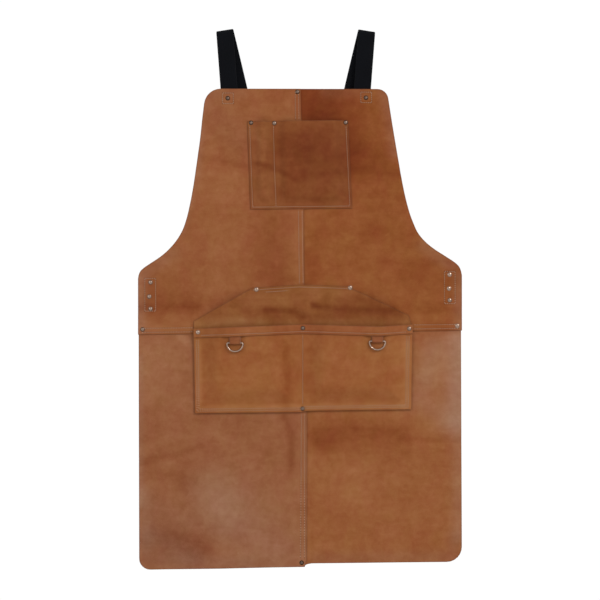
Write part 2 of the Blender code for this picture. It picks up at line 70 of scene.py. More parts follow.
SIDE_L, SIDE_R, TOP = -307.4, 307.5, -110.1
TOP_L, TOP_R = (-178.6, -109.7, 32.0), (164.8, -110.5, 21.0)
ARMHOLE_L = [(-185.8, -169), (-189.8, -208), (-193.2, -231), (-202.7, -299), (-212.0, -345),
             (-218.6, -368), (-224.4, -382), (-233.4, -397), (-246.2, -412.5), (-262.5, -427.5),
             (-284.0, -441.5), (-299.0, -451.5), (-305.3, -459.5), (SIDE_L, -470)]
ARMHOLE_R = [(168.0, -131), (173.9, -169), (180.4, -208), (184.3, -231), (196.0, -299),
             (207.4, -345), (216.5, -368), (222.6, -382), (234.1, -397), (251.6, -412.3),
             (275.8, -427.5), (297.0, -441.2), (304.6, -450.5), (SIDE_R, -464)]
WAIST_L, WAIST_R, SKIRT_TOP = -576.8, -568.9, -548.0
SKIRT_SIDE_L = [(-306.4, SKIRT_TOP), (-305.3, -1023.4, 21.0)]
SKIRT_SIDE_R = [(307.6, -1008.3, 29.0), (305.8, SKIRT_TOP)]
HEM_L = [(-255, -1022.5), (-150, -1021.3), (-60, -1019), (0, -1018), (9, -1017.8)]
SKIRT_LAP = [(12.6, -1006), (13.1, -900), (13.4, -760), (13.5, SKIRT_TOP)]
HEM_R = [(-6, -1017), (6, -1016.6), (14, -1012.8), (22, -1011.3), (266, -1008.7)]
BIB_POCKET = [(-94, -339), (99, -337), (91, -170), (-100, -172)]
POCKET_FLOOR = [(-199.5, -726), (2, -724), (9, -721.6), (211.7, -718.8)]
HAND_POCKET = POCKET_FLOOR + [
    (213, -560), (206, -540), (100, -490), (91, -485), (0, -482), (-90, -488), (-202, -551), (-202, -565)]
TOOL_TOP = [(214, -557), (152, -561), (6, -557), (-202, -565)]
TOOL_POCKET = POCKET_FLOOR + TOOL_TOP
BAND_HEIGHT, DIVIDER_X = 18.0, 1.5
PUFF_BIB, PUFF_HAND, PUFF_TOOL = 6.6, 7.0, 6.8  # how far each pocket stands off at most
SEAM_FLAT = 6.0  # and how far from its seams it stays flat

SIDES = ("left", "right")
STRAP_W, BELT_W, MID_X, BACK_Y = 32.0, 38.0, -8.1, 11.0  # MID_X is midway between the straps
BELT_Y = BACK_Y - WEB - GAP
BELT_TILT = math.radians(1.513)
GLIDE_UP = 90.0  # an adjuster's middle bar above the strap's bottom turn
WIRE_R, RING_HALF, RING_DROP = 1.5, 15.0, 16.1
TAB_HALF, TAB_R = 11.5, 3.15  # half width, and the outer radius of the fold round the ring's bar
RINGS = {"left": (-122.7, -592.0), "right": (146.2, -588.7)}

STRAP_RIVETS = {"left": (-137.2, -127.9), "right": (125.2, -127.1)}
SIDE_RIVETS = {"left": [(-283.7, -477.5), (-286.0, -504.5), (-283.7, -527.8)],
               "right": [(284.1, -462.8), (282.9, -489.3), (284.2, -511.5)]}
TOP_RIVET, HEM_RIVET, FLOOR_RIVET = (-4.8, -115.9), (3.2, -1009.7), (4.8, -717.1)
BIB_POCKET_RIVETS = [(-92.9, -174.8), (-48.6, -175.6), (86.6, -174.2)]
WAIST_RIVETS = [(-298.7, -566.8), (298.7, -560.1)]
HAND_RIVETS = [(-82.7, -491.2), (95.2, -487.9)]
BAND_RIVETS = [(-193.4, -572.1), (5.5, -564.3), (207.1, -565.3)]

# The seams that hold each pocket down, as polylines
BIB_SEAMS = [[(-94, -174.6), (-93, -335), (95, -333), (86.6, -174)], [(-48.6, -175.6), (-45, -338)]]
HAND_SEAMS = [[(-197, -555), (-195.5, -722), (207, -717), (208.5, -545)],
              [(-82.7, -491.2), (95.2, -487.9)], [(DIVIDER_X, -562), (DIVIDER_X, -724)]]
TOOL_SEAMS = [[(-197, -555), (-195.5, -722), (207, -717), (208.5, -557)],
              [(DIVIDER_X, -557), (DIVIDER_X, -724)], [(5.5, -564.3), (5.5, -557)],
              [(-193.4, -572.1), (-197, -572.1)]]


# ---- small maths, on numbers or arrays

def lerp(a, b, t):
    return a + (b - a) * t


def smooth(t):
    t = np.clip(t, 0.0, 1.0)
    return t * t * (3 - 2 * t)


def bell(t):
    return np.exp(-t * t)


def segment_distance(x, z, a, b):
    dx, dz = b[0] - a[0], b[1] - a[1]
    t = np.clip(((x - a[0]) * dx + (z - a[1]) * dz) / max(dx * dx + dz * dz, 1e-9), 0, 1)
    return np.hypot(x - a[0] - t * dx, z - a[1] - t * dz)


def line_distance(x, z, points):
    return np.minimum.reduce([segment_distance(x, z, a, b) for a, b in zip(points, points[1:])])


def near(x, z, points, reach):
    """One on the polyline, falling off smoothly over the reach."""
    return bell(line_distance(x, z, points) / reach)


def along(points, spacing):
    """Points along a polyline at an even spacing near the given one, with its ends, and unit tangents."""
    pts = np.array([p[:2] for p in points], float)
    steps = np.hypot(*np.diff(pts, axis=0).T)
    ends = np.concatenate([[0], np.cumsum(steps)])
    count = max(2, int(round(ends[-1] / spacing)) + 1)
    s = np.linspace(0, ends[-1], count)
    x, z = np.interp(s, ends, pts[:, 0]), np.interp(s, ends, pts[:, 1])
    i = np.clip(np.searchsorted(ends, s, side="right") - 1, 0, len(steps) - 1)
    tangent = np.diff(pts, axis=0)[i] / steps[i][:, None]
    return np.stack([x, z], 1), tangent


def wobble(k, seed):
    """A repeatable number from -1 to 1 for item k."""
    return (np.sin((k + 1) * 12.9898 + seed * 78.233) * 43758.5453 % 1.0) * 2 - 1


# ---- surfaces, y of each layer's back

def waist(x):
    return lerp(WAIST_L, WAIST_R, (x - SIDE_L) / (SIDE_R - SIDE_L))


CREASES = [  # line, half width, depth
    ([(-196, -243), (-95, -262), (0, -281), (95, -286), (192, -268)], 9, 1.3),
    ([(-306, -527), (-205, -525)], 9, 1.5),
    ([(215, -528), (306, -536)], 10, 0.8),
    ([(-30, -735), (-15, -765), (-16, -835)], 6, 1.6),
    ([(-306, -815), (-240, -806), (-185, -788)], 5, 1.1),
    ([(20, -762), (110, -757), (200, -775), (306, -779)], 10, 1.0),
    ([(-110, -420), (-55, -455), (-20, -478)], 9, 0.8),
]


def relief(x, z):
    """Slight unevenness shared by every layer, so that the layers stay in contact."""
    wave = 0.8 * np.sin(x / 88 + z / 150 + 0.6) * np.sin(z / 118 - x / 260)
    wave += 0.35 * np.sin(x / 37 - z / 61 + 1.9) * np.sin(z / 44 + x / 83)
    for points, width, depth in CREASES:
        wave = wave + depth * near(x, z, points, width)
    for rx, rz in RINGS.values():
        wave = wave * (1 - bell(np.hypot(x - rx, z - rz) / 42))
    return wave


def settle(points):
    """The relief, fading out on what runs free behind the apron."""
    points = np.array(points, float)
    points[:, 1] += relief(points[:, 0], points[:, 2]) * smooth((8 - points[:, 1]) / 5)
    return points


def puff(x, z, seams, height, reach):
    """How far a pocket stands off between its seams, from nothing beside a seam to its full height."""
    away = np.minimum.reduce([line_distance(x, z, seam) for seam in seams]) - SEAM_FLAT
    return height * smooth(away / reach)


def level(y):
    return lambda x, z: y + 0 * x


bib_left_back, bib_right_back = level(BIB_L + LEATHER), level(BIB_R + LEATHER)


def skirt_left_back(x, z):
    tuck = smooth((x + 24) / 11) * smooth((z + 640) / 55)
    return SKIRT_L - PITCH * (1 - tuck) + LEATHER


def skirt_right_back(x, z):
    tuck = smooth((26 - x) / 12) * smooth((z + 640) / 55)
    return SKIRT_R - PITCH * (1 - tuck) + LEATHER


def ground(x, z, x0, x1):
    """Front of the panels under a pocket, with ramps over the centre lap and the waist lap."""
    s = smooth((-578 - z) / 60)
    right = lerp(BIB_R, BIB_R + PITCH, s)
    return lerp(right - PITCH, right, smooth((x - x0) / (x1 - x0))) - GAP


def bib_pocket_back(x, z):
    return ground(x, z, 5, 21) - puff(x, z, BIB_SEAMS, PUFF_BIB, 17)


def hand_pocket_base(x, z):
    return ground(x, z, 13, 31) - puff(x, z, HAND_SEAMS, PUFF_HAND, 42)


HAND_FOLDS = [[(-130, -526), (-62, -529), (-31, -530), (-10, -533), (6, -543)],
              [(9, -517), (33, -522), (54, -526), (96, -530), (150, -530), (190, -533)]]


def hand_pocket_back(x, z):
    fold = np.maximum.reduce([near(x, z, line, 6.5) for line in HAND_FOLDS])
    return hand_pocket_base(x, z) + 2.2 * fold * smooth((z + 556) / 8)


def tool_pocket_back(x, z):
    fold = 1.4 * near(x, z, [(-24, -585), (-22, -660), (-30, -716)], 8)
    return hand_pocket_base(x, z) - LEATHER - 0.9 - puff(x, z, TOOL_SEAMS, PUFF_TOOL, 42) + fold


def band_back(x, z):
    """The band stands off the pocket, most of all where it runs over the two tabs."""
    by_tab = np.maximum.reduce([smooth((TAB_HALF + 16 - np.abs(x - rx)) / 12) for rx, _ in RINGS.values()])
    return tool_pocket_back(x, z) - LEATHER - 0.5 - 3.3 * by_tab


def apron_back(x, z):
    """Rearmost leather surface at a point."""
    bib = np.where(x < -12.5, bib_left_back(x, z), bib_right_back(x, z))
    skirt = np.where(x < -6, skirt_left_back(x, z), skirt_right_back(x, z))
    return np.where(z < SKIRT_TOP, skirt, bib)


def front_of(back):
    return lambda x, z: back(x, z) - LEATHER


# ---- materials

def linear(*srgb):
    return tuple(c / 12.92 if c <= 0.04045 else ((c + 0.055) / 1.055) ** 2.4 for c in (v / 255 for v in srgb))


def paint(*srgb):
    return (*linear(*srgb), 1.0)


class Look:
    """A node material. Each call adds a node and returns the socket to use next."""

    def __init__(self, name):
        self.material = bpy.data.materials.new(name)
        self.material.use_nodes = True
        self.tree = self.material.node_tree
        self.shader = self.tree.nodes["Principled BSDF"]
        self.here = self.add("TexCoord", out="Object")

    def put(self, node, key, value):
        if isinstance(value, bpy.types.NodeSocket):
            self.tree.links.new(value, node.inputs[key])
        else:
            node.inputs[key].default_value = value

    def add(self, kind, inputs=(), out=0, **settings):
        node = self.tree.nodes.new("ShaderNode" + kind)
        for key, value in settings.items():
            setattr(node, key, value)
        for key, value in dict(inputs).items():
            self.put(node, key, value)
        return node.outputs[out]

    def math(self, operation, a, b=0.0, c=0.0):
        return self.add("Math", {0: a, 1: b, 2: c}, operation=operation)

    def times(self, a, b):
        return self.math("MULTIPLY", a, b)

    def total(self, first, *others):
        for other in others:
            first = self.math("ADD", first, other)
        return first

    def span(self, value, low=0.3, high=0.7, to_low=0.0, to_high=1.0):
        return self.add("MapRange", {"Value": value, "From Min": low, "From Max": high,
                                     "To Min": to_low, "To Max": to_high})

    def mix(self, factor, a, b):
        return self.add("Mix", {0: factor, 6: a, 7: b}, out=2, data_type="RGBA")

    def blend(self, factor, a, b):
        return self.add("Mix", {0: factor, 2: a, 3: b}, data_type="FLOAT")

    def noise(self, scale, detail=3.0, rough=0.55, distort=0.0, stretch=None):
        here = self.here
        if stretch:
            here = self.add("VectorMath", {0: here, 1: stretch}, operation="MULTIPLY")
        return self.add("TexNoise", {"Vector": here, "Scale": scale, "Detail": detail,
                                     "Roughness": rough, "Distortion": distort})

    def attribute(self, name, out="Fac"):
        return self.add("Attribute", attribute_name=name, out=out)

    def bump(self, height, distance, strength=1.0):
        return self.add("Bump", {"Height": height, "Distance": distance, "Strength": strength})

    def finish(self, **inputs):
        for key, value in inputs.items():
            self.put(self.shader, key.replace("_", " "), value)
        return self.material


def leather_look():
    """Oil-tanned hide: pebbled grain, soft mottling, rubbed marks, a grey cut edge, painted shade in the
    grain's hollows and beside edges and stitching, and a suede back.
    """
    k = Look("leather")
    tint = k.attribute("tint", "Color")
    # The edge attribute is the cut edge's own dark grey-brown; on the front face it also lays a thin band of
    # painted shade beside the edges and along the stitched grooves.
    edge, flesh = k.attribute("edge"), k.attribute("flesh")
    drift = k.add("TexNoise", {"Vector": k.here, "Scale": 160.0, "Detail": 2.0}, out="Color")
    drift = k.add("VectorMath", {0: drift, 3: 0.004}, operation="SCALE")
    bent = k.add("VectorMath", {0: k.here, 1: drift}, operation="ADD")
    cells = k.add("TexVoronoi", {"Vector": bent, "Scale": 780.0, "Randomness": 1.0},
                  feature="DISTANCE_TO_EDGE")
    pebble = k.span(cells, 0.0, 0.22, 0.0, 1.0)
    pores = k.noise(1500.0, 2.0)
    wrinkle = k.noise(75.0, 5.0, 0.62, 0.4)
    broad = k.noise(7.0, 4.0, 0.55, 0.6)
    cloud = k.noise(30.0, 5.0, 0.62, 0.3)
    rubbed = k.noise(1.0, 5.0, 0.6, 0.5, stretch=(16.0, 16.0, 60.0))
    fibre = k.noise(420.0, 6.0, 0.7, 0.8, stretch=(1.0, 1.0, 0.45))

    # The pebbles' hollows and the wrinkles' valleys come out a little darker, painted shade over the bump;
    # broad, cloud and rubbed are the hide's own tone and wear.
    power = k.total(k.span(broad, 0.3, 0.7, -0.05, 0.05), k.span(cloud, 0.25, 0.75, -0.055, 0.055),
                    k.span(rubbed, 0.3, 0.75, 0.04, -0.045), k.span(pebble, 0.0, 1.0, 0.03, -0.01),
                    k.span(wrinkle, 0.3, 0.7, 0.055, -0.055), 1.0)
    grain = k.add("Gamma", {"Color": tint, "Gamma": power})
    hue = k.noise(26.0, 3.0, 0.55, 0.4, stretch=(1.0, 1.0, 0.7))
    hue = k.span(hue, 0.3, 0.7, 0.496, 0.504)
    grain = k.add("HueSaturation", {"Hue": hue, "Saturation": 1.0, "Color": grain})
    # Towards the cut edge's grey-brown, which beside edges and stitching on the front face is painted shade.
    grain = k.mix(k.times(edge, 0.45), grain, paint(80, 48, 36))
    suede = k.mix(k.span(fibre), paint(139, 98, 70), paint(172, 130, 98))
    suede = k.mix(k.span(broad, 0.3, 0.7, 0.0, 0.5), suede, paint(140, 95, 66))
    colour = k.mix(flesh, grain, suede)

    height = k.times(pebble, 0.20)
    height = k.math("MULTIPLY_ADD", pores, 0.22, height)
    height = k.math("MULTIPLY_ADD", wrinkle, 0.9, height)
    nap = k.times(fibre, 1.1)
    height = k.blend(flesh, height, nap)
    rough = k.blend(flesh, k.span(cloud, 0.3, 0.7, 0.58, 0.70), 0.92)
    return k.finish(Base_Color=colour, Roughness=rough, Normal=k.bump(height, 0.0004, 0.8),
                    Specular_IOR_Level=0.13, Sheen_Weight=k.times(flesh, 0.25),
                    Sheen_Roughness=0.6)


def webbing_look():
    """Black plain-weave webbing: short raised yarns in offset columns with painted shade between them, read
    from the strip's own map.
    """
    k = Look("webbing")
    across, down = (k.add("SeparateXYZ", {0: k.add("UVMap", uv_map="weave")}, out=o) for o in (0, 1))
    column = k.times(across, 1 / 1.6)
    odd = k.math("FLOOR", k.math("MODULO", k.total(column, 100.0), 2.0))
    row = k.total(k.times(down, 1 / 2.4), k.times(odd, 0.5))
    rib = k.math("ABSOLUTE", k.math("SINE", k.times(column, math.pi)))
    yarn = k.math("ABSOLUTE", k.math("SINE", k.times(row, math.pi)))
    weave = k.times(k.math("POWER", rib, 0.6), k.math("POWER", yarn, 0.5))
    fuzz, fade = k.noise(1400.0, 3.0), k.noise(16.0, 4.0)
    # Darker where the weave is low: painted shade between the yarns, with random fuzz.
    shade = k.total(k.times(weave, 0.55), k.times(fuzz, 0.35))
    colour = k.mix(shade, paint(4, 5, 8), paint(12, 13, 18))
    colour = k.mix(k.span(fade, 0.35, 0.7, 0.0, 0.35), colour, paint(15, 17, 23))
    height = k.total(weave, k.times(fuzz, 0.25))
    return k.finish(Base_Color=colour, Roughness=0.82, Normal=k.bump(height, 0.00045, 0.9),
                    Specular_IOR_Level=0.08, Sheen_Weight=0.03, Sheen_Roughness=0.5)


def thread_look():
    """Pale waxed polyester thread with a fine twist and painted shade in its grooves, and dark discs of
    painted shade at the needle holes between stitches.
    """
    k = Look("thread")
    x, z = (k.add("SeparateXYZ", {0: k.here}, out=o) for o in (0, 2))
    twist = k.math("SINE", k.times(k.total(x, z), 9000.0))
    worn = k.noise(45.0, 4.0)
    colour = k.mix(k.span(worn), paint(200, 160, 130), paint(222, 186, 156))
    # Darker in the low turns of the twist: painted shade.
    colour = k.mix(k.span(twist, -1.0, 1.0, 0.0, 0.3), colour, paint(150, 112, 88))
    # The discs at the needle holes take a dark brown: painted shade.
    colour = k.mix(k.attribute("hole_shade"), colour, paint(62, 36, 24))
    return k.finish(Base_Color=colour, Roughness=0.6, Normal=k.bump(twist, 0.00008, 0.6),
                    Specular_IOR_Level=0.3)


def nickel_look():
    """Antique nickel: bright where it is rubbed, grey-brown in the recesses, and darker on the D-rings'
    flanks and backs as painted shade.
    """
    k = Look("antique_nickel")
    # This attribute is the rivets' dirt in their hollows and, on the D-rings, painted shade over the wire's
    # flanks and back.
    grime_and_shade = k.attribute("grime_and_shade")
    spots = k.noise(900.0, 4.0, 0.6)
    scratch = k.noise(1.0, 3.0, 0.6, stretch=(900.0, 900.0, 90.0))
    dirt = k.math("MINIMUM", k.total(grime_and_shade, k.span(spots, 0.45, 0.7, 0.0, 0.35)), 1.0)
    colour = k.mix(dirt, paint(196, 168, 150), paint(58, 38, 28))
    rough = k.total(k.span(dirt, 0.0, 1.0, 0.13, 0.55), k.span(scratch, 0.4, 0.7, 0.0, 0.08))
    return k.finish(Base_Color=colour, Metallic=1.0, Roughness=rough, Normal=k.bump(scratch, 0.00005, 0.5))


def plastic_look():
    """Black acetal: fine spark-eroded texture and a few rubbed marks."""
    k = Look("black_plastic")
    erode, scuff = k.noise(2600.0, 2.0), k.noise(1.0, 4.0, 0.6, stretch=(60.0, 60.0, 260.0))
    colour = k.mix(k.span(scuff, 0.5, 0.75), paint(20, 20, 22), paint(46, 46, 48))
    rough = k.total(k.span(erode, 0.3, 0.7, 0.40, 0.52), k.span(scuff, 0.5, 0.75, 0.0, 0.12))
    return k.finish(Base_Color=colour, Roughness=rough, Normal=k.bump(erode, 0.00006, 0.6))


LEATHER_LOOK, WEBBING_LOOK, THREAD_LOOK = leather_look(), webbing_look(), thread_look()
NICKEL_LOOK, PLASTIC_LOOK = nickel_look(), plastic_look()


# ---- hide colours

# A blot is (reach across, strength, x, z, x, z, ...). Above zero it darkens and reddens, below it pales. Most
# blots are the hide's own stains and tone; those along the creases and the hand pocket's folds are painted
# shade, and a few pale ones by pocket edges and under the band are painted light lifting shadow.
STAINS_AND_PAINTED_SHADE = {
    # Painted shade: the first mark, along the bib's crease, and the fifth, along the waist crease.
    "bib_left": [
        (9, 0.09, -196, -238, -100, -258), (22, -0.02, -190, -275, -120, -300),
        (36, 0.12, -52, -350, -42, -470), (16, 0.05, -80, -470, -20, -475),
        (11, 0.20, -306, -525, -195, -524), (12, 0.06, -270, -505, -190, -500),
        (8, -0.05, -306, -563, -200, -563), (40, 0.07, -165, -150, -110, -210),
        (16, 0.03, -190, -200, -120, -215), (9, -0.03, -20, -120, -22, -165),
        (20, -0.04, -250, -440, -200, -400), (28, -0.04, -160, -380, -130, -420),
    ],
    # Painted shade: the mark from x 90 along the bib's crease and the one from x 180 along the waist crease.
    "bib_right": [
        (62, 0.30, 30, -120, 70, -175), (14, 0.05, 158, -120, 172, -165, 182, -225),
        (50, 0.25, 20, -200, 60, -240), (22, 0.16, 115, -228, 155, -238), (12, 0.14, 90, -262, 192, -272),
        (26, 0.07, 30, -400, 25, -470), (9, 0.07, 150, -437, 300, -440), (22, 0.07, 200, -470, 300, -465),
        (9, 0.06, 180, -527, 306, -533), (10, -0.06, 225, -545, 300, -545),
        (32, 0.07, 105, -250, 165, -310), (30, 0.05, 60, -360, 190, -390), (7, -0.03, 215, -562, 300, -560),
    ],
    # Painted shade: the two thin marks across the pocket along the bib's crease.
    "bib_pocket": [
        (44, 0.24, -5, -228, 75, -236), (13, 0.09, 12, -205, 16, -262),
        (5, 0.14, -89, -250, -59, -258, -35, -268, -10, -283), (8, 0.14, 9, -277, 40, -273, 88, -266),
        (28, 0.14, -20, -305, 85, -307), (15, -0.05, -75, -185, -72, -235), (20, 0.08, 30, -185, 80, -188),
    ],
    # Painted shade: the first four marks, along and under the pocket's two folds. Painted light: the two pale
    # marks at the end, lifting the shadow under the band.
    "hand_pocket": [
        (6, 0.24, -66, -529, -31, -530, -10, -534, 4, -543),
        (7, 0.22, 26, -521, 54, -526, 96, -530, 150, -530, 186, -532),
        (13, 0.13, -100, -534, 10, -548, 60, -541, 190, -543), (4, 0.20, 24, -520, 37, -523),
        (11, 0.15, 50, -508, 150, -514), (6, 0.06, -10, -500, -8, -520), (7, -0.05, 20, -496, 80, -499),
        (10, -0.16, -200, -558, -110, -551), (8, -0.10, -110, -550, 200, -552),
    ],
    # Painted light: the first mark, pale along the stitched edges, lifting their shade. Painted shade: the
    # second, along the pocket's fold.
    "tool_pocket": [
        (6, -0.15, -193, -590, -191, -717, 203, -711, 204, -590),
        (11, 0.11, -26, -600, -24, -660, -30, -720), (20, 0.02, 140, -615, 150, -660),
        (20, 0.04, -170, -600, -160, -640), (22, -0.03, 100, -680, 180, -690),
        (26, -0.03, -120, -680, -70, -690), (9, 0.05, 20, -600, 24, -700), (40, -0.03, 60, -625, 190, -640),
    ],
    "band": [
        (16, 0.06, -40, -575, 60, -570), (12, 0.03, 120, -570, 200, -570),
    ],
    # Painted shade: the first two marks, along the skirt's creases. Painted light: the last one, pale,
    # lifting the shadow beside the pocket.
    "skirt_left": [
        (8, 0.17, -32, -728, -16, -765, -18, -838), (7, 0.13, -306, -815, -240, -806, -188, -789),
        (24, 0.09, -285, -835, -215, -860), (28, 0.05, -285, -900, -220, -935),
        (22, -0.08, -170, -880, -150, -925), (14, -0.04, -120, -912, -90, -908),
        (28, 0.27, -275, -960, -200, -985), (20, 0.05, -150, -945, -120, -970),
        (26, 0.06, -100, -770, -60, -800), (16, -0.05, -290, -620, -290, -700),
        (24, -0.04, -260, -600, -230, -690), (8, 0.05, -140, -740, -60, -742),
        (16, 0.05, -160, -800, -130, -830), (40, 0.05, -100, -910, -30, -970),
        (14, 0.08, -298, -965, -285, -1010, -60, -1010), (12, -0.11, -228, -582, -208, -592),
    ],
    # Painted shade: the second and fourth marks, along the skirt's crease.
    "skirt_right": [
        (26, -0.05, 280, -600, 270, -650), (20, 0.19, 30, -768, 110, -757, 190, -765),
        (20, 0.09, 40, -790, 200, -795), (5, 0.07, 190, -775, 306, -779), (6, 0.04, 200, -800, 300, -797),
        (12, -0.03, 240, -740, 300, -745), (26, -0.03, 70, -860, 170, -880),
        (24, 0.04, 230, -960, 280, -985), (13, 0.06, 296, -960, 288, -1002, 30, -1004),
        (8, 0.04, 20, -870, 24, -960), (22, 0.03, 90, -930, 130, -960), (18, 0.03, 270, -830, 300, -900),
    ],
}
# A bloom is written the same way, with its share of pale wax in place of strength.
BLOOMS = {
    "bib_left": [
        (9, 0.10, -185, -135, -195, -260, -225, -380), (40, 0.05, -165, -150, -110, -210),
        (12, 0.07, -170, -118, -110, -118), (12, 0.14, -303, -470, -303, -570),
        (14, 0.11, -290, -456, -240, -422),
    ],
    "bib_right": [
        (12, 0.06, 50, -116, 120, -116), (13, 0.10, 160, -118, 172, -165, 182, -230),
        (12, 0.14, 303, -470, 303, -565), (14, 0.11, 290, -446, 235, -408),
    ],
    "skirt_left": [
        (42, 0.16, -170, -875, -150, -925), (62, 0.13, -130, -905, -50, -1000),
        (30, 0.12, -215, -1000, -285, -960), (6, 0.12, -302, -620, -302, -900),
        (16, 0.11, -298, -880, -292, -1005, -100, -1012), (28, 0.08, -285, -900, -220, -935),
    ],
    "skirt_right": [
        (26, 0.42, 303, -590, 300, -740), (26, 0.20, 255, -600, 240, -660),
        (24, 0.13, 225, -700, 275, -738), (15, 0.15, 302, -750, 302, -960),
        (14, 0.09, 296, -960, 290, -1000, 30, -1003),
    ],
}
BLOOM = np.array(linear(172, 142, 122))
HIDES = {
    "bib_left": linear(149, 89, 51), "bib_right": linear(144, 82, 40), "bib_pocket": linear(137, 79, 41),
    "hand_pocket": linear(140, 84, 43), "tool_pocket": linear(152, 91, 48), "band": linear(150, 89, 50),
    "skirt_left": linear(150, 94, 60), "skirt_right": linear(152, 92, 52), "tab": linear(142, 84, 50),
    "patch": linear(138, 82, 50),
}


def marks(table, hide, x, z):
    """Each mark's strength at the points, largest on its own line."""
    for reach, strength, *line in table.get(hide, []):
        yield strength * near(x, z, list(zip(line[::2], line[1::2])), reach)


def hide_colour(hide, x, z):
    """Colour of the grain side, with the painted shade and light among its marks: a darker place is the base
    colour raised to a power, which reddens it.
    """
    power = 1 + sum(marks(STAINS_AND_PAINTED_SHADE, hide, x, z)) + 0 * x
    rgb = np.array(HIDES[hide])[None, :] ** power[:, None]
    for share in marks(BLOOMS, hide, x, z):
        rgb = lerp(rgb, BLOOM, share[:, None])
    return np.concatenate([rgb, np.ones((len(rgb), 1))], 1)


# ---- mesh builders

def new_piece(name, points, faces, look, attributes=(), settled=True):
    """A mesh piece from points in mm, with its point attributes."""
    points = settle(points) if settled else np.array(points, float)
    mesh = bpy.data.meshes.new(name)
    mesh.from_pydata((points * MM).tolist(), [], faces)
    mesh.shade_smooth()
    mesh.materials.append(look)
    for key, values in dict(attributes).items():
        kind, field = ("FLOAT_COLOR", "color") if np.ndim(values) == 2 else ("FLOAT", "value")
        layer = mesh.attributes.new(key, kind, "POINT")
        layer.data.foreach_set(field, np.asarray(values, np.float32).ravel())
    piece = bpy.data.objects.new(name, mesh)
    bpy.context.scene.collection.objects.link(piece)
    return piece


def rounded(points, steps=6):
    """Closed outline with its corners filleted where a point has a third value, the radius."""
    out = []
    for i, p in enumerate(points):
        c = Vector(p[:2])
        if len(p) == 2:
            out.append(tuple(c))
            continue
        a = (Vector(points[i - 1][:2]) - c).normalized()
        b = (Vector(points[(i + 1) % len(points)][:2]) - c).normalized()
        half = a.angle(b) / 2
        centre = c + (a + b).normalized() * (p[2] / math.sin(half))
        spoke = c + a * (p[2] / math.tan(half)) - centre
        turn = spoke.angle_signed(c + b * (p[2] / math.tan(half)) - centre)
        for k in range(steps + 1):
            cs, sn = math.cos(-turn * k / steps), math.sin(-turn * k / steps)
            out.append((centre.x + spoke.x * cs - spoke.y * sn, centre.y + spoke.x * sn + spoke.y * cs))
    return out


def curved(points, rounds=2):
    """Open polyline with its corners cut twice, so that it runs in one curve."""
    pts = [np.array(p[:2], float) for p in points]
    for _ in range(rounds):
        cut = [pts[0]]
        for a, b in zip(pts, pts[1:]):
            cut += [a * 0.75 + b * 0.25, a * 0.25 + b * 0.75]
        pts = cut + [pts[-1]]
    return [tuple(p) for p in pts]


def ring_of(outline, step):
    """The closed outline with points no further apart than step, counter-clockwise."""
    pts = np.array(outline, float)
    nxt = np.roll(pts, -1, axis=0)
    if np.sum(pts[:, 0] * nxt[:, 1] - nxt[:, 0] * pts[:, 1]) < 0:
        pts = pts[::-1]
    out = []
    for a, b in zip(pts, np.roll(pts, -1, axis=0)):
        n = max(1, int(math.ceil(math.dist(a, b) / step)))
        out += [a + (b - a) * k / n for k in range(n)]
    return np.array(out)


def inset(ring, distance):
    """Each point of a counter-clockwise ring moved inwards."""
    a, b = ring - np.roll(ring, 1, axis=0), np.roll(ring, -1, axis=0) - ring
    a /= np.maximum(np.hypot(*a.T), 1e-9)[:, None]
    b /= np.maximum(np.hypot(*b.T), 1e-9)[:, None]
    normal = np.stack([-(a + b)[:, 1], (a + b)[:, 0]], 1)
    normal /= np.maximum(np.hypot(*normal.T), 1e-9)[:, None]
    stretch = 1 / np.clip(normal[:, 1] * a[:, 0] - normal[:, 0] * a[:, 1], 0.5, 1)
    return ring + normal * (distance * stretch)[:, None]


def inside(points, ring):
    x, z = points[:, 0], points[:, 1]
    hit = np.zeros(len(points), bool)
    for (ax, az), (bx, bz) in zip(ring, np.roll(ring, -1, axis=0)):
        if az == bz:
            continue
        crosses = (az > z) != (bz > z)
        hit ^= crosses & (x < ax + (bx - ax) * (z - az) / (bz - az))
    return hit


def thin_out(chosen, extra, spacing, border=None):
    """chosen with those of extra that are inside the border and over spacing from every chosen point."""
    if border is not None:
        extra = extra[inside(extra, border)]
    tree = kdtree.KDTree(len(chosen))
    for i, p in enumerate(chosen):
        tree.insert((p[0], p[1], 0), i)
    tree.balance()
    kept = [p for p in extra if tree.find((p[0], p[1], 0))[2] > spacing]
    return np.concatenate([chosen, np.array(kept).reshape(-1, 2)]) if kept else chosen


ROUND = 0.45  # rounding of a cut edge
RIM = [(0.3, 0.3), (0.0, 1.0), (0.0, LEATHER / ROUND - 1.0), (0.3, LEATHER / ROUND - 0.3)]
GROOVE_SIDE, GROOVE_DEPTH, GROOVE_REACH = 1.7, 0.30, 1.5
DISH_RINGS, DISH_DEPTH, DISH_REACH = ((3.6, 10), (5.0, 14), (7.2, 14)), 0.35, 5.5


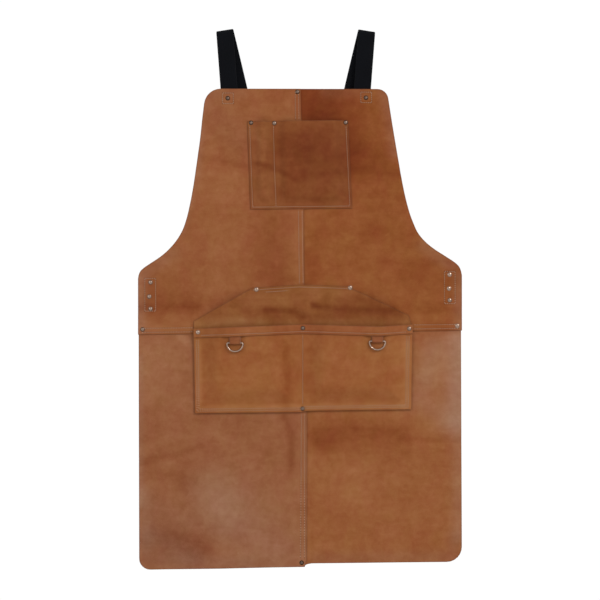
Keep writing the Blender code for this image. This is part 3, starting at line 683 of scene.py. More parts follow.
def blank_points(ring, rows, rivets, grid):
    """Points of a cut piece: its edge, close points beside stitches and round rivets, then a loose grid."""
    flat = thin_out(inset(ring, ROUND), inset(ring, 1.9), 0.8)
    border = inset(ring, 1.2)
    for points in rows:
        spots, tangent = along(points, 4.0)
        side = np.stack([-tangent[:, 1], tangent[:, 0]], 1)
        for offset in (0.0, -GROOVE_SIDE, GROOVE_SIDE):
            flat = thin_out(flat, spots + side * offset, 1.1, border)
    for rx, rz in rivets:
        for radius, n in DISH_RINGS:
            ang = 2 * math.pi * np.arange(n) / n
            circle = np.stack([rx + radius * np.cos(ang), rz + radius * np.sin(ang)], 1)
            flat = thin_out(flat, circle, 0.9, border)
    flat = thin_out(flat, inset(ring, 4.6), 2.2, inset(ring, 3.5))
    lo, hi = ring.min(0), ring.max(0)
    gx, gz = (np.arange(lo[k] + grid / 2, hi[k], grid) for k in (0, 1))
    mesh_x, mesh_z = np.meshgrid(gx, gz)
    shift = np.where(np.arange(len(gz)) % 2, grid / 4, -grid / 4)[:, None]
    loose = np.stack([(mesh_x + shift).ravel(), mesh_z.ravel()], 1)
    return thin_out(flat, loose, 0.55 * grid, inset(ring, 4.0))


def triangulate(flat, count):
    """The points in the plane and the triangles over them; the first count points are the closed edge."""
    edge = [(i, (i + 1) % count) for i in range(count)]
    verts, _, tris, *_ = delaunay_2d_cdt([Vector(p) for p in flat], edge, [], 1, 1e-6)
    flat = np.array([tuple(v) for v in verts])
    x, z = flat[:, 0], flat[:, 1]
    turned = [(x[b] - x[a]) * (z[c] - z[a]) < (z[b] - z[a]) * (x[c] - x[a]) for a, b, c in tris]
    return flat, [(a, c, b) if turn else (a, b, c) for (a, b, c), turn in zip(tris, turned)]


def leather(name, outline, back, hide, rows=(), rivets=(), grid=5.0, step=5.0):
    """A cut piece of leather with rounded edges, lying on the surface y = back(x, z).

    rows are the stitched lines on it, which press a groove, and rivets press a dish round their caps.
    Gives the piece, its flat size and its area.
    """
    ring = ring_of(outline, step)
    count = len(ring)
    flat, tris = triangulate(blank_points(ring, rows, rivets, grid), count)
    n, x, z = len(flat), flat[:, 0], flat[:, 1]
    y = back(x, z)
    press = sum((GROOVE_DEPTH * near(x, z, pts, GROOVE_REACH) for pts in rows), 0 * x)
    press = press + sum((DISH_DEPTH * bell(np.hypot(x - rx, z - rz) / DISH_REACH)
                         for rx, rz in rivets), 0 * x)
    points = [np.stack([x, y - LEATHER + np.minimum(press, 0.4), z], 1), np.stack([x, y, z], 1)]
    for pull, depth in RIM:
        p = inset(ring, pull * ROUND)
        points.append(np.stack([p[:, 0], back(p[:, 0], p[:, 1]) - LEATHER + depth * ROUND, p[:, 1]], 1))
    points = np.concatenate(points)

    faces = []
    for a, b, c in tris:
        faces += [(a, b, c), (n + c, n + b, n + a)]
    starts = [0] + [2 * n + k * count for k in range(len(RIM))] + [n]
    for upper, lower in zip(starts, starts[1:]):
        for i in range(count):
            j = (i + 1) % count
            faces.append((upper + i, lower + i, lower + j, upper + j))

    # A thin band beside the cut edge and along the stitched grooves goes darker: partly the edge's and the
    # pressed leather's own colour, partly painted shade.
    rim = near(x, z, np.concatenate([ring, ring[:1]]), 0.7)
    pressed = sum((0.15 * near(x, z, pts, 1.0) for pts in rows), 0 * x)
    attributes = {
        "tint": hide_colour(hide, points[:, 0], points[:, 2]),
        "edge": np.concatenate([np.clip(rim + pressed, 0, 1), rim, np.ones(len(RIM) * count)]),
        "flesh": np.concatenate([np.zeros(n), np.ones(n), np.repeat(np.linspace(0.0, 0.5, len(RIM)), count)]),
    }
    piece = new_piece(name, points, faces, LEATHER_LOOK, attributes)
    area = 0.5 * abs(np.sum(ring[:, 0] * np.roll(ring[:, 1], -1) - np.roll(ring[:, 0], -1) * ring[:, 1]))
    return piece, (ring.max(0) - ring.min(0)) * MM, area * MM * MM


def skin(rings, sides, base=0, turned=False):
    """Faces over a run of rings of points, closed at both ends."""
    faces = []
    for i in range(rings - 1):
        for j in range(sides):
            a, b = base + i * sides + j, base + i * sides + (j + 1) % sides
            faces.append((a, b, b + sides, a + sides))
    faces.append(tuple(range(base + sides - 1, base - 1, -1)))
    faces.append(tuple(range(base + (rings - 1) * sides, base + rings * sides)))
    return [face[::-1] for face in faces] if turned else faces


SELVEDGE = [(-1.0, 0.0), (-0.97, 0.36), (-0.9, 0.5), (-0.5, 0.5), (0.0, 0.5),
            (0.5, 0.5), (0.9, 0.5), (0.97, 0.36), (1.0, 0.0)]
STRIP = SELVEDGE + [(u, -h) for u, h in SELVEDGE[-2:0:-1]]


def ribbon(name, place, stations, half, look, thick=WEB, hide=None):
    """A strip swept through place(s, w): rounded selvedges, square ends, and a map of its own weave.

    half is the half width, a number or a function of s. A strip of hide has its grain side outwards.
    """
    half_at = half if callable(half) else (lambda s: half)
    points, uvs = [], []
    for s in np.asarray(stations, float):
        h = half_at(s)
        across = np.array(place(s, h)) - np.array(place(s, -h))
        normal = np.cross(across, np.array(place(s + 0.4, 0.0)) - np.array(place(s - 0.4, 0.0)))
        normal /= np.linalg.norm(normal)
        for u, v in STRIP:
            points.append(np.array(place(s, u * h)) + normal * (v * thick))
            uvs.append((u * h, s))
    points = np.array(points)
    attributes = {}
    if hide:
        rows = len(stations)
        attributes = {"tint": hide_colour(hide, points[:, 0], points[:, 2]),
                      "edge": np.tile([bell((1 - abs(u)) / 0.09) for u, _ in STRIP], rows),
                      "flesh": np.tile([0.0 if v > -0.2 and abs(u) < 0.99 else 1.0 for u, v in STRIP], rows)}
    piece = new_piece(name, points, skin(len(stations), len(STRIP)), look, attributes)
    layer = piece.data.uv_layers.new(name="weave")
    corner = np.zeros(len(piece.data.loops), np.int32)
    piece.data.loops.foreach_get("vertex_index", corner)
    layer.data.foreach_set("uv", np.array(uvs)[corner].astype(np.float32).ravel())
    return piece


def tube(name, path, radius, sides, look):
    """A round wire along a closed path of 3-D points, in the plane of constant y."""
    path = np.array(path, float)
    ahead = np.roll(path, -1, axis=0) - np.roll(path, 1, axis=0)
    ahead /= np.linalg.norm(ahead, axis=1)[:, None]
    out = np.cross(ahead, [0.0, 1.0, 0.0])
    points, grime_and_shade, n = [], [], len(path)
    for k in range(sides):
        ang = 2 * math.pi * k / sides
        # Painted shade: the wire turns darker over its flanks and its back, the side facing the apron.
        grime_and_shade.append(0.85 * float(smooth((math.sin(ang) + 1.0) / 0.8)))
        points.append(path + radius * (math.cos(ang) * out + math.sin(ang) * np.array([0, 1.0, 0])))
    points = np.stack(points, 1).reshape(-1, 3)
    faces = [(i * sides + k, (i + 1) % n * sides + k, (i + 1) % n * sides + (k + 1) % sides,
              i * sides + (k + 1) % sides) for i in range(n) for k in range(sides)]
    return new_piece(name, points, faces, look, {"grime_and_shade": np.tile(grime_and_shade, n)}, settled=False)


BEAD = [(-1.0, 0.4, -0.28), (-0.6, 1.0, 0.10), (0.6, 1.0, 0.10), (1.0, 0.4, -0.28)]  # reach, girth, rise
BEAD_SIDES, HOLE_SIDES, THREAD_R, HOLE_R = 5, 6, 0.52, 0.6


def bead(centre, run, side, half, face, outward):
    """Points of one stitch, a bead along run whose two ends sink into the leather."""
    points = []
    for reach, girth, rise in BEAD:
        x, z = centre + run * (reach * half)
        y = float(face(x, z))
        for q in range(BEAD_SIDES):
            ang = 2 * math.pi * (q + 0.5) / BEAD_SIDES
            off = THREAD_R * girth * math.cos(ang)
            up = rise + THREAD_R * girth * 0.8 * math.sin(ang)
            points.append((x + side[0] * off, y + outward * up, z + side[1] * off))
    return points


def needle_hole_shade(x, z, face, outward, base):
    """Points and faces of a small disc with a sunk back between two stitches, coloured dark as painted shade
    where the needle went through.
    """
    y = float(face(x, z))
    turns = [2 * math.pi * q / HOLE_SIDES for q in range(HOLE_SIDES)]
    points = [(x + HOLE_R * math.cos(a), y + outward * 0.03, z + HOLE_R * math.sin(a)) for a in turns]
    points += [(x, y + outward * 0.08, z), (x, y - outward * 0.5, z)]
    faces = []
    for q in range(HOLE_SIDES):
        a, b = base + q, base + (q + 1) % HOLE_SIDES
        faces += [(a, b, base + HOLE_SIDES), (b, a, base + HOLE_SIDES + 1)]
    return points, [face[::-1] for face in faces] if outward > 0 else faces


def stitching(name, rows):
    """Lock stitches along rows of (points, face, outward, pitch), each a bead and a dark disc of painted
    shade where the needle went through.
    """
    points, faces, holes = [], [], []
    for number, (row, face, outward, pitch) in enumerate(rows):
        spots, tangents = along(row, pitch)
        middles, runs = (spots[1:] + spots[:-1]) / 2, (tangents[1:] + tangents[:-1]) / 2
        for k, (middle, run) in enumerate(zip(middles, runs)):
            run = run / np.hypot(*run)
            slant = 0.07 + 0.05 * wobble(k, number)
            run = np.array([run[0] - slant * run[1], run[1] + slant * run[0]])
            side = np.array([-run[1], run[0]])
            half = pitch / 4 * (1 + 0.07 * wobble(k, number + 0.5))
            faces += skin(len(BEAD), BEAD_SIDES, len(points), outward > 0)
            centre = middle + side * (0.09 * wobble(k, number + 0.25))
            points += bead(centre, run, side, half, face, outward)
            x, z = middle + run * (pitch / 2)
            hole_shade, hole_faces = needle_hole_shade(x, z, face, outward, len(points))
            points += hole_shade
            faces += hole_faces
            holes += [0.0] * (len(BEAD) * BEAD_SIDES) + [1.0] * len(hole_shade)
    piece = new_piece(name, points, faces, THREAD_LOOK, {"hole_shade": holes})
    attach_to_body(piece, "apron")


def attach(made, node):
    """Puts a leather piece on the apron in place of its CAD node."""
    piece, size, area = made
    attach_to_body(piece, "apron")
    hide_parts(node)


# ---- seams

def offset_line(points, distance):
    """A polyline moved sideways, to its left as it runs."""
    pts = np.array([p[:2] for p in points], float)
    run = np.diff(pts, axis=0)
    run /= np.hypot(*run.T)[:, None]
    normals = np.stack([-run[:, 1], run[:, 0]], 1)
    at = np.concatenate([normals[:1], (normals[1:] + normals[:-1]) / 2, normals[-1:]])
    at /= (np.hypot(*at.T) ** 2)[:, None]
    return [tuple(p) for p in pts + at * distance]


def box_rows(x0, x1, z0, z1):
    return [[(x0, z0), (x0, z1)], [(x0, z1), (x1, z1)], [(x1, z1), (x1, z0)], [(x1, z0), (x0, z0)]]


def waist_rows(x0, x1):
    return [[(x, waist(x) + up) for x in (x0, x1)] for up in (4.2, 11.8)]


CENTRE_UPPER = [[(-3.2, -114), (-1.8, -168)], [(-9.0, -114), (-8.4, -168)]]
CENTRE_LOWER = [[(4.1, -342), (6.0, -479)], [(-2.9, -342), (-1.0, -479)]]
SKIRT_ROWS = [[(8.9, -727), (8.4, -1000)], [(2.9, -727), (1.0, -1000)]]
STRAP_BOXES = {"left": box_rows(-147, -126.5, -138, -118.2), "right": box_rows(115.5, 136, -136.5, -116.5)}
SIDE_BOXES = {"left": box_rows(-294.5, -274, -532, -470), "right": box_rows(274.5, 294.5, -518, -457)}
BIB_POCKET_ROWS = [
    [(-95.4, -181), (-89.8, -334.8)], [(-89.8, -334.8), (94.6, -332.6)],
    [(94.6, -332.6), (87.2, -181)], [(-50.4, -181), (-48.6, -258), (-45.2, -334)],
]
HAND_ROWS = [offset_line([(91, -485), (0, -482), (-90, -488)], 4.2),
             offset_line([(-24, -483.5), (-66, -486.4)], 9.6)]
BAND_ROWS = [[(x, z - BAND_HEIGHT + 4.4) for x, z in ((-188, -564.4), (6, -557), (152, -561), (202, -558))]]
TOOL_ROWS = [
    [(-196.4, -586), (-195.2, -721.6)], [(-192.6, -586), (-191.6, -717.8)],
    [(-195.2, -721.6), (2, -719.4), (9, -716.8), (205.2, -714)],
    [(-191.6, -718), (0, -715.8), (9, -713.2), (201, -710.6)],
    [(205.2, -714), (206.8, -579)], [(200.8, -710.6), (202.4, -579)], [(5.2, -578), (5.2, -708)],
]

# ---- leather panels

BIB_LEFT = [(1, TOP), TOP_L, *curved(ARMHOLE_L), (SIDE_L, WAIST_L), (12, waist(12)), (8.6, -483), (7.2, -340)]
BIB_RIGHT = [(-11, waist(-11)), (SIDE_R, WAIST_R), *curved(ARMHOLE_R[::-1]), TOP_R, (-14, TOP)]
PANELS = [  # name, outline, surface of its back, stitched rows, rivets, node, what it rests on
    ("bib_left", BIB_LEFT, bib_left_back,
     CENTRE_UPPER + CENTRE_LOWER + waist_rows(-301, -203) + STRAP_BOXES["left"] + SIDE_BOXES["left"],
     [STRAP_RIVETS["left"], TOP_RIVET, *SIDE_RIVETS["left"], WAIST_RIVETS[0]],
     "bib_panel_left", ["shoulder_strap_left", "bib_right"]),
    ("bib_right", BIB_RIGHT, bib_right_back,
     waist_rows(216, 301) + STRAP_BOXES["right"] + SIDE_BOXES["right"],
     [STRAP_RIVETS["right"], *SIDE_RIVETS["right"], WAIST_RIVETS[1]],
     "bib_panel_right", ["shoulder_strap_right"]),
    ("skirt_left", SKIRT_SIDE_L + HEM_L + SKIRT_LAP, skirt_left_back, SKIRT_ROWS, [HEM_RIVET],
     "skirt_panel_left", ["bib_left", "skirt_right"]),
    ("skirt_right", [(-6, SKIRT_TOP)] + HEM_R + SKIRT_SIDE_R, skirt_right_back, [], [],
     "skirt_panel_right", ["bib_right"]),
]
for name, outline, back, rows, rivets, node, rests_on in PANELS:
    attach(leather(name, rounded(outline), back, name, rows, rivets), node)

# Pockets and the band over the tool pocket's mouth
BAND = [(x, z - BAND_HEIGHT) for x, z in TOOL_TOP[::-1]] + TOOL_TOP
POCKETS = [  # name, outline, surface of its back, hide, stitched rows, rivets, mesh grid, what it rests on
    ("pocket_bib", rounded(BIB_POCKET), bib_pocket_back, "bib_pocket", BIB_POCKET_ROWS,
     BIB_POCKET_RIVETS, 4.5, ["bib_left", "bib_right"]),
    ("pocket_hand", rounded(HAND_POCKET), hand_pocket_back, "hand_pocket", HAND_ROWS,
     HAND_RIVETS + BAND_RIVETS, 5, ["bib_left", "bib_right", "skirt_left", "skirt_right"]),
    ("pocket_tool", rounded(TOOL_POCKET), tool_pocket_back, "tool_pocket", TOOL_ROWS,
     BAND_RIVETS + [FLOOR_RIVET], 4.5, ["pocket_hand"]),
    ("pocket_band", BAND, band_back, "band", BAND_ROWS, BAND_RIVETS, 4, ["pocket_tool"]),
]
for name, outline, back, hide, rows, rivets, grid, rests_on in POCKETS:
    node = "tool_pocket_band" if hide == "band" else hide
    attach(leather(name, outline, back, hide, rows, rivets, grid), node)

# Side patches behind the belt ends
STRAP_FRONT = {"left": BIB_L + LEATHER + GAP + WEB / 2, "right": BIB_R + LEATHER + GAP + WEB / 2}
STRAP_REAR = {side: y + WEB / 2 for side, y in STRAP_FRONT.items()}
PATCH_BACK = {side: y + GAP + LEATHER for side, y in STRAP_REAR.items()}
PATCH_W, PATCH_H, PATCH_CORNER = 26, 72, 4
for side in SIDES:
    px, pz = (sum(p[k] for p in SIDE_RIVETS[side]) / 3 for k in (0, 1))
    corners = [(px + i * PATCH_W / 2, pz + j * PATCH_H / 2, PATCH_CORNER)
               for i, j in ((-1, -1), (1, -1), (1, 1), (-1, 1))]
    attach(leather(f"patch_{side}", rounded(corners), level(PATCH_BACK[side]), "patch", SIDE_BOXES[side],
                   SIDE_RIVETS[side], grid=4, step=3), f"side_patch_{side}")


# ---- D-rings and their tabs

def arc(centre, radius, start, end, steps):
    angles = [math.radians(lerp(start, end, i / steps)) for i in range(steps + 1)]
    return [(centre[0] + radius * math.cos(a), centre[1] + radius * math.sin(a)) for a in angles]


def path_at(points):
    """A function from length along a polyline to its two coordinates, and the whole length."""
    pts = np.array(points, float)
    ends = np.concatenate([[0], np.cumsum(np.hypot(*np.diff(pts, axis=0).T))])

    def at(s):
        over = s - np.clip(s, 0, ends[-1])
        run = (pts[-1] - pts[-2]) / (ends[-1] - ends[-2]) if over > 0 else (pts[1] - pts[0]) / ends[1]
        return (np.interp(s, ends, pts[:, 0]) + over * run[0], np.interp(s, ends, pts[:, 1]) + over * run[1])
    return at, float(ends[-1])


def even(length, spacing):
    return np.linspace(0, length, max(2, int(round(length / spacing)) + 1))


BAR_PLAY = WIRE_R + 0.35
TAB_SKIN = TAB_R - BAR_PLAY
TAB_TAIL, TAB_WAISTED, RING_LOW, RING_CORNER = 21, 1.1, 2.2, 2


def ring_tab(side, rx, rz, back):
    """A strap of leather folded round the ring's bar, its outer leg pressed against the inner one."""
    mid, outer = BAR_PLAY + TAB_SKIN / 2, back - 1.5 * TAB_SKIN
    bar_y = back - TAB_R
    path = [(back - TAB_SKIN / 2, rz + TAB_TAIL), (back - TAB_SKIN / 2, rz + 3)]
    path += arc((bar_y, rz), mid, 0, -180, 14)
    path += [(bar_y - mid + 0.25, rz + 2.5), (outer - 0.75, rz + 6), (outer, rz + 10), (outer, rz + TAB_TAIL)]
    at, length = path_at(path)

    def place(s, w):
        y, z = at(s)
        return (rx + w, y, z)

    def half(s):
        return TAB_HALF - TAB_WAISTED * float(smooth((rz + 14 - at(s)[1]) / 12))
    tab = ribbon(f"tab_{side}", place, even(length, 1.0), half, LEATHER_LOOK, TAB_SKIN - 0.1, "tab")
    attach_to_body(tab, "apron")
    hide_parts(f"ring_tab_{side}")


def d_ring(side, rx, rz, bar_y):
    """A closed wire: a straight bar, two tight corners and a bow that is half an ellipse."""
    straight = RING_HALF - RING_CORNER
    path = [(x, 0.0) for x in np.linspace(-straight, straight, 14)]
    path += arc((straight, -RING_CORNER), RING_CORNER, 60, 0, 3)
    path += [(RING_HALF * math.cos(a), -RING_LOW - (RING_DROP - RING_LOW) * math.sin(a))
             for a in np.linspace(0, math.pi, 44)]
    path += arc((-straight, -RING_CORNER), RING_CORNER, 180, 120, 3)
    ring = tube(f"ring_{side}", [(rx + x, bar_y, rz + z) for x, z in path], WIRE_R, 14, NICKEL_LOOK)
    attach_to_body(ring, f"ring_{side}")
    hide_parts(f"d_ring_{side}")


for side, (rx, rz) in RINGS.items():
    tab_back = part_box(f"ring_tab_{side}")[1].y / MM
    ring_tab(side, rx, rz, tab_back)
    d_ring(side, rx, rz, tab_back - TAB_R)

# ---- rivets

CAP = [  # radius, height, grime
    (0, 1.45, 0.0), (0.9, 1.42, 0.0), (1.8, 1.30, 0.02), (2.6, 1.08, 0.08), (3.1, 0.86, 0.3),
    (3.35, 0.62, 0.75), (3.5, 0.50, 0.9), (3.75, 0.50, 0.6), (4.05, 0.42, 0.35), (4.25, 0.20, 0.45),
    (4.28, -0.02, 0.8), (4.1, -0.2, 1.0), (1.25, -0.2, 1.0)]
TAIL = [(1.25, 0.1, 1.0), (3.2, 0.1, 0.9), (3.4, -0.15, 0.4), (3.3, -0.5, 0.2), (2.4, -0.75, 0.15),
        (1.5, -0.8, 0.3), (1.2, -0.55, 0.9), (0, -0.45, 0.8)]
SEGMENTS, SUNK = 20, 0.25

RIVETS = {  # node: (x, z), front face, back face
    "rivet_strap_left": (STRAP_RIVETS["left"], BIB_L, STRAP_REAR["left"]),
    "rivet_strap_right": (STRAP_RIVETS["right"], BIB_R, STRAP_REAR["right"]),
    "rivet_bib_top": (TOP_RIVET, BIB_L, BIB_R + LEATHER),
    "rivet_pocket_floor": (FLOOR_RIVET, front_of(tool_pocket_back), apron_back),
    "rivet_hem": (HEM_RIVET, front_of(skirt_left_back), apron_back),
}
for word, p in zip(("outer", "divider", "inner"), BIB_POCKET_RIVETS):
    RIVETS[f"rivet_bib_pocket_{word}"] = (p, front_of(bib_pocket_back), apron_back)
for side, front in zip(SIDES, (BIB_L, BIB_R)):
    for word, p in zip(("upper", "middle", "lower"), SIDE_RIVETS[side]):
        RIVETS[f"rivet_side_{side}_{word}"] = (p, front, PATCH_BACK[side])
for i, (side, front) in enumerate(zip(SIDES, (BIB_L, BIB_R))):
    RIVETS[f"rivet_waist_{side}"] = (WAIST_RIVETS[i], front, apron_back)
    RIVETS[f"rivet_hand_pocket_{side}"] = (HAND_RIVETS[i], front_of(hand_pocket_back), apron_back)
for word, p in zip(("left", "middle", "right"), BAND_RIVETS):
    RIVETS[f"rivet_band_{word}"] = (p, front_of(band_back), apron_back)

PLAIN_TARNISH = 0.1
TARNISH = {"bib_pocket_outer": 0.55, "bib_pocket_inner": 0.45, "bib_pocket_divider": 0.3, "bib_top": 0.5,
           "band_middle": 0.5, "pocket_floor": 0.5, "hem": 0.65, "strap_left": 0.6, "strap_right": 0.6,
           "waist_left": 0.3, "band_right": 0.15, "side_right_upper": -0.3, "side_right_middle": -0.2,
           "waist_right": -0.3, "hand_pocket_left": -0.1, "hand_pocket_right": -0.15, "band_left": -0.1}


def rivet(place, front, back, dull, base):
    """Points, faces and grime of one rivet, a shell turned round its axis from its cap to its tail."""
    rx, rz = (np.float64(v) for v in place)
    y0, y1 = (float(f(rx, rz)) if callable(f) else f for f in (front, back))
    deep = y1 - y0 - SUNK
    y0 += float(relief(rx, rz))
    profile = [(r, h - SUNK, g) for r, h, g in CAP] + [(r, h - deep - SUNK, g) for r, h, g in TAIL]
    points, grime_and_shade, faces = [], [], []
    for r, h, dirt in profile:
        for k in range(1 if r == 0 else SEGMENTS):
            ang = 2 * math.pi * k / SEGMENTS
            points.append((rx + r * math.cos(ang), y0 - h, rz + r * math.sin(ang)))
            grime_and_shade.append(max(0.0, dirt + dull))
    starts = [base + 1 + k * SEGMENTS for k in range(len(profile) - 2)]
    for k in range(SEGMENTS):
        j = (k + 1) % SEGMENTS
        faces.append((base, starts[0] + k, starts[0] + j))
        for a, b in zip(starts, starts[1:]):
            faces.append((a + k, b + k, b + j, a + j))
        faces.append((starts[-1] + j, starts[-1] + k, base + len(points) - 1))
    return points, faces, grime_and_shade


points, faces, grime_and_shade = [], [], []
for node, (place, front, back) in RIVETS.items():
    dull = TARNISH.get(node.removeprefix("rivet_"), PLAIN_TARNISH)
    for whole, own in zip((points, faces, grime_and_shade), rivet(place, front, back, dull, len(points))):
        whole += own
rivets = new_piece("rivets", points, faces, NICKEL_LOOK, {"grime_and_shade": grime_and_shade}, settled=False)
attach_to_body(rivets, "apron")
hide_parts(*RIVETS)

# ---- thread

bib_front, bib_right_front = front_of(bib_left_back), front_of(bib_right_back)
SEAM_PITCH, WAIST_PITCH, POCKET_PITCH, BOX_PITCH = 5.0, 4.8, 4.4, 4.2


def sewn(rows, face, pitch, outward=-1):
    return [(row, face, outward, pitch) for row in rows]


SEAMS = {
    "thread_bib": (
        sewn(CENTRE_UPPER + CENTRE_LOWER, bib_front, SEAM_PITCH)
        + sewn(waist_rows(-301, -203), bib_front, WAIST_PITCH)
        + sewn(waist_rows(216, 301), bib_right_front, WAIST_PITCH)
        + sewn(STRAP_BOXES["left"] + SIDE_BOXES["left"], bib_front, BOX_PITCH)
        + sewn(STRAP_BOXES["right"] + SIDE_BOXES["right"], bib_right_front, BOX_PITCH)),
    "thread_skirt": sewn(SKIRT_ROWS, front_of(skirt_left_back), SEAM_PITCH),
    "thread_pockets": (
        sewn(BIB_POCKET_ROWS, front_of(bib_pocket_back), POCKET_PITCH)
        + sewn(HAND_ROWS, front_of(hand_pocket_back), POCKET_PITCH)
        + sewn(TOOL_ROWS, front_of(tool_pocket_back), POCKET_PITCH)
        + sewn(BAND_ROWS, front_of(band_back), POCKET_PITCH)),
    "thread_back": (
        sewn(CENTRE_UPPER + CENTRE_LOWER + SKIRT_ROWS, apron_back, SEAM_PITCH, 1)
        + sewn(BIB_POCKET_ROWS + HAND_ROWS + TOOL_ROWS, apron_back, POCKET_PITCH, 1)
        + sewn(waist_rows(-301, 301), apron_back, WAIST_PITCH, 1)
        + [row for s in SIDES for row in sewn(SIDE_BOXES[s], level(PATCH_BACK[s]), BOX_PITCH, 1)]
        + [row for s in SIDES for row in sewn(STRAP_BOXES[s], level(STRAP_REAR[s]), BOX_PITCH, 1)]),
}
for name, rows in SEAMS.items():
    stitching(name, rows)

# ---- webbing

LEAN, FOLD = math.radians(4.35), math.radians(9.0)
UP, ACROSS = (-math.sin(LEAN), math.cos(LEAN)), (math.cos(LEAN), math.sin(LEAN))
FOLD_AXIS, FOLD_UP = (math.cos(FOLD), math.sin(FOLD)), (-math.sin(FOLD), math.cos(FOLD))
FOLD_START, IN_PLANE_BEND = (-142.8, -5.55), 4.3e-5
BOTTOM_S, BOTTOM_R = 550.0, WEB / 2 + 1.1


def strap_point(side, s, w, y=None):
    """Point of the webbing at length s from the start of the shoulder fold and offset w."""
    front = STRAP_FRONT[side]
    r = (BACK_Y - front) / 2
    q = (s * UP[0] + w * ACROSS[0], s * UP[1] + w * ACROSS[1])
    h, g = q[0] * FOLD_UP[0] + q[1] * FOLD_UP[1], q[0] * FOLD_AXIS[0] + q[1] * FOLD_AXIS[1]
    depth, bend = front, 0.0
    if h > math.pi * r:
        down = h - math.pi * r
        depth, bend, rise = BACK_Y, -IN_PLANE_BEND * down * down, -down
    elif h > 0:
        depth, rise = front + r * (1 - math.cos(h / r)), r * math.sin(h / r)
    else:
        rise = h
    x = FOLD_START[0] + g * FOLD_AXIS[0] + rise * FOLD_UP[0] + bend
    z = FOLD_START[1] + g * FOLD_AXIS[1] + rise * FOLD_UP[1]
    return (x if side == "left" else 2 * MID_X - x, depth if y is None else y, z)


def strap_place(side):
    def place(s, w):
        t = s - BOTTOM_S
        if t <= 0:
            return strap_point(side, s, w)
        if t < math.pi * BOTTOM_R:
            y = BACK_Y - BOTTOM_R * (1 - math.cos(t / BOTTOM_R))
            return strap_point(side, BOTTOM_S + BOTTOM_R * math.sin(t / BOTTOM_R), w, y)
        return strap_point(side, BOTTOM_S - (t - math.pi * BOTTOM_R), w, BACK_Y - 2 * BOTTOM_R)
    return place


def belt_z(x):
    return -503.0 + (x + 284.0) * math.tan(BELT_TILT)


def webbing(name, place, stations, width, node):
    piece = ribbon(name, place, stations, width / 2, WEBBING_LOOK)
    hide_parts(node)
    return piece


STRAP_DOWN, HEM = 136, 8  # strap below the shoulder fold in front, and what is turned up at its end


def shoulder_strap(side):
    turn = math.pi * (BACK_Y - STRAP_FRONT[side]) / 2
    end = BOTTOM_S + math.pi * BOTTOM_R + HEM
    stations = np.concatenate([
        np.arange(-STRAP_DOWN, -8, 4.0), np.arange(-8, turn + 8, 1.2),
        np.arange(turn + 9, BOTTOM_S - 1, 4.0), np.arange(BOTTOM_S - 1, end, 0.7), [end]])
    strap = webbing(f"strap_{side}", strap_place(side), stations, STRAP_W, f"shoulder_strap_{side}")
    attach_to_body(strap, "apron")


def strap_loop(side):
    """The short piece sewn in the strap's turned end, which runs up round the adjuster's middle bar."""
    path = [(8.4, BACK_Y - 2 * BOTTOM_R), (60, 4.0)] + arc((GLIDE_UP + 1.6, 6.0), 2.0, 270, 450, 10)
    at, length = path_at(path + [(GLIDE_UP - 16, 7.6)])

    def place(t, w):
        rise, y = at(t)
        return strap_point(side, BOTTOM_S - rise, w, y)
    loop = webbing(f"loop_{side}", place, even(length, 1.6), STRAP_W, f"strap_loop_{side}")
    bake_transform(loop)


for side in SIDES:
    shoulder_strap(side)
    strap_loop(side)

BUCKLE_X, BAR = -120.0, 3.2  # BAR is from the middle of a buckle's bar to the middle of the belt on it
flat_l, flat_r = STRAP_FRONT["left"], STRAP_FRONT["right"]
socket_bar, plug_bar = BUCKLE_X - 32.5, BUCKLE_X + 16.5


def belt(name, points, node):
    at, length = path_at(curved(points, 1))

    def place(t, v):
        x, y = at(t)
        return (x - v * math.sin(BELT_TILT), y, belt_z(x) + v * math.cos(BELT_TILT))
    return webbing(name, place, even(length, 2.2), BELT_W, node)


belt_l = belt("belt_left",
              [(-298, flat_l), (-266, flat_l), (-245, -1.0), (-222, 3.0), (-200, 5.2), (-180, BELT_Y - BAR)]
              + arc((socket_bar, BELT_Y), BAR, -90, 90, 12) + [(socket_bar - 14, 10.2), (-190, 7.8)],
              "waist_belt_left")
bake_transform(belt_l)
belt_r = belt("belt_right",
              [(298, flat_r), (266, flat_r), (240, 0.6), (215, 4.2), (190, 7.4), (165, BELT_Y), (60, BELT_Y),
               (-66, BELT_Y), (-86, 7.2), (plug_bar + 8, BELT_Y - BAR)]
              + arc((plug_bar, BELT_Y), BAR, 270, 90, 12) + [(plug_bar + 10, BELT_Y + BAR), (-70, 11.1)],
              "waist_belt_right")
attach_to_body(belt_r, "apron")

# ---- moulded parts carried over from the CAD

for node in ("strap_adjuster_left", "strap_adjuster_right", "buckle_socket", "buckle_plug"):
    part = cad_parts[node]
    part.data.materials.clear()
    part.data.materials.append(PLASTIC_LOOK)
    weld = part.modifiers.new("weld", "WELD")
    weld.merge_threshold = 1e-5
    bevel = part.modifiers.new("edges", "BEVEL")
    bevel.width, bevel.segments, bevel.limit_method, bevel.angle_limit = 0.0005, 3, "ANGLE", math.radians(40)
    bevel.harden_normals = True

# ---- stage, light and camera

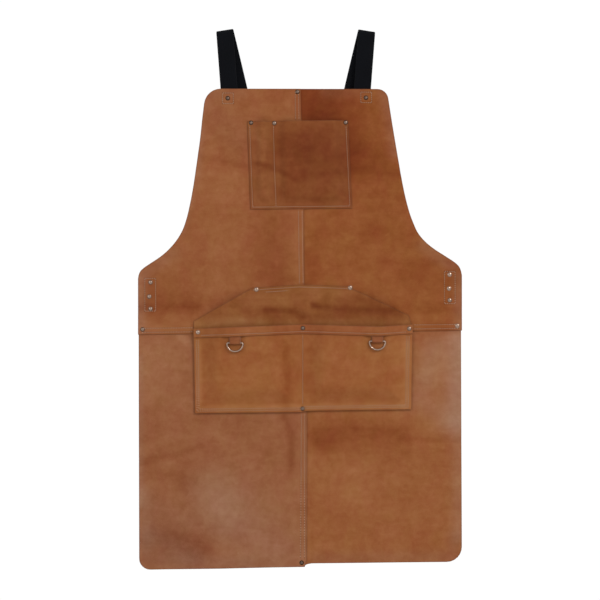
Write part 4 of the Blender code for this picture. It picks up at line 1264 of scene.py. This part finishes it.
# Metres from here on. What the camera sees past the apron is PAPER_STRENGTH, and SKY_STRENGTH lights it.
FLOOR_R, FLOOR_Z, SKY_STRENGTH, PAPER_STRENGTH = 1.6, -1.37, 0.605, 1.02
CAMERA_PLACE, SENSOR, LENS = (0.0, -4.0, -0.511), 36.0, 126.3

bpy.ops.mesh.primitive_circle_add(vertices=96, radius=FLOOR_R, fill_type="NGON", location=(0, 0, FLOOR_Z))
floor = bpy.context.object
floor.name = "floor"
k = Look("floor")
speck = k.noise(60.0)
floor.data.materials.append(k.finish(
    Base_Color=k.mix(k.span(speck), (0.80, 0.80, 0.80, 1), (0.84, 0.84, 0.84, 1)),
    Roughness=0.8))


def area_light(name, place, size, power, target=(0, 0, -0.5)):
    lamp = bpy.data.lights.new(name, "AREA")
    lamp.shape, lamp.size, lamp.energy = "DISK", size, power
    ob = bpy.data.objects.new(name, lamp)
    bpy.context.scene.collection.objects.link(ob)
    ob.location, ob.rotation_mode = place, "QUATERNION"
    ob.rotation_quaternion = (Vector(target) - Vector(place)).to_track_quat("-Z", "Y")


area_light("key", (1.7, -2.3, 1.1), 1.3, 38.5)
area_light("fill", (-2.0, -2.2, 0.2), 1.6, 10)
area_light("rear", (-1.2, 2.4, 1.0), 1.6, 26)

world = bpy.data.worlds.new("studio")
bpy.context.scene.world = world
world.use_nodes = True
tree = world.node_tree
sky, paper = tree.nodes["Background"], tree.nodes.new("ShaderNodeBackground")
for node, strength in ((sky, SKY_STRENGTH), (paper, PAPER_STRENGTH)):
    node.inputs["Color"].default_value = (1, 1, 1, 1)
    node.inputs["Strength"].default_value = strength
seen, pick = tree.nodes.new("ShaderNodeLightPath"), tree.nodes.new("ShaderNodeMixShader")
for k, out in enumerate((seen.outputs["Is Camera Ray"], sky.outputs[0], paper.outputs[0])):
    tree.links.new(out, pick.inputs[k])
tree.links.new(pick.outputs[0], tree.nodes["World Output"].inputs["Surface"])

lens = bpy.data.cameras.new("camera")
camera = bpy.data.objects.new("camera", lens)
bpy.context.scene.collection.objects.link(camera)
bpy.context.scene.camera = camera
camera.location, camera.rotation_euler = CAMERA_PLACE, (math.radians(90), 0, 0)
lens.sensor_width, lens.lens, lens.clip_end = SENSOR, LENS, 60.0
bpy.context.scene.view_settings.view_transform = "Standard"
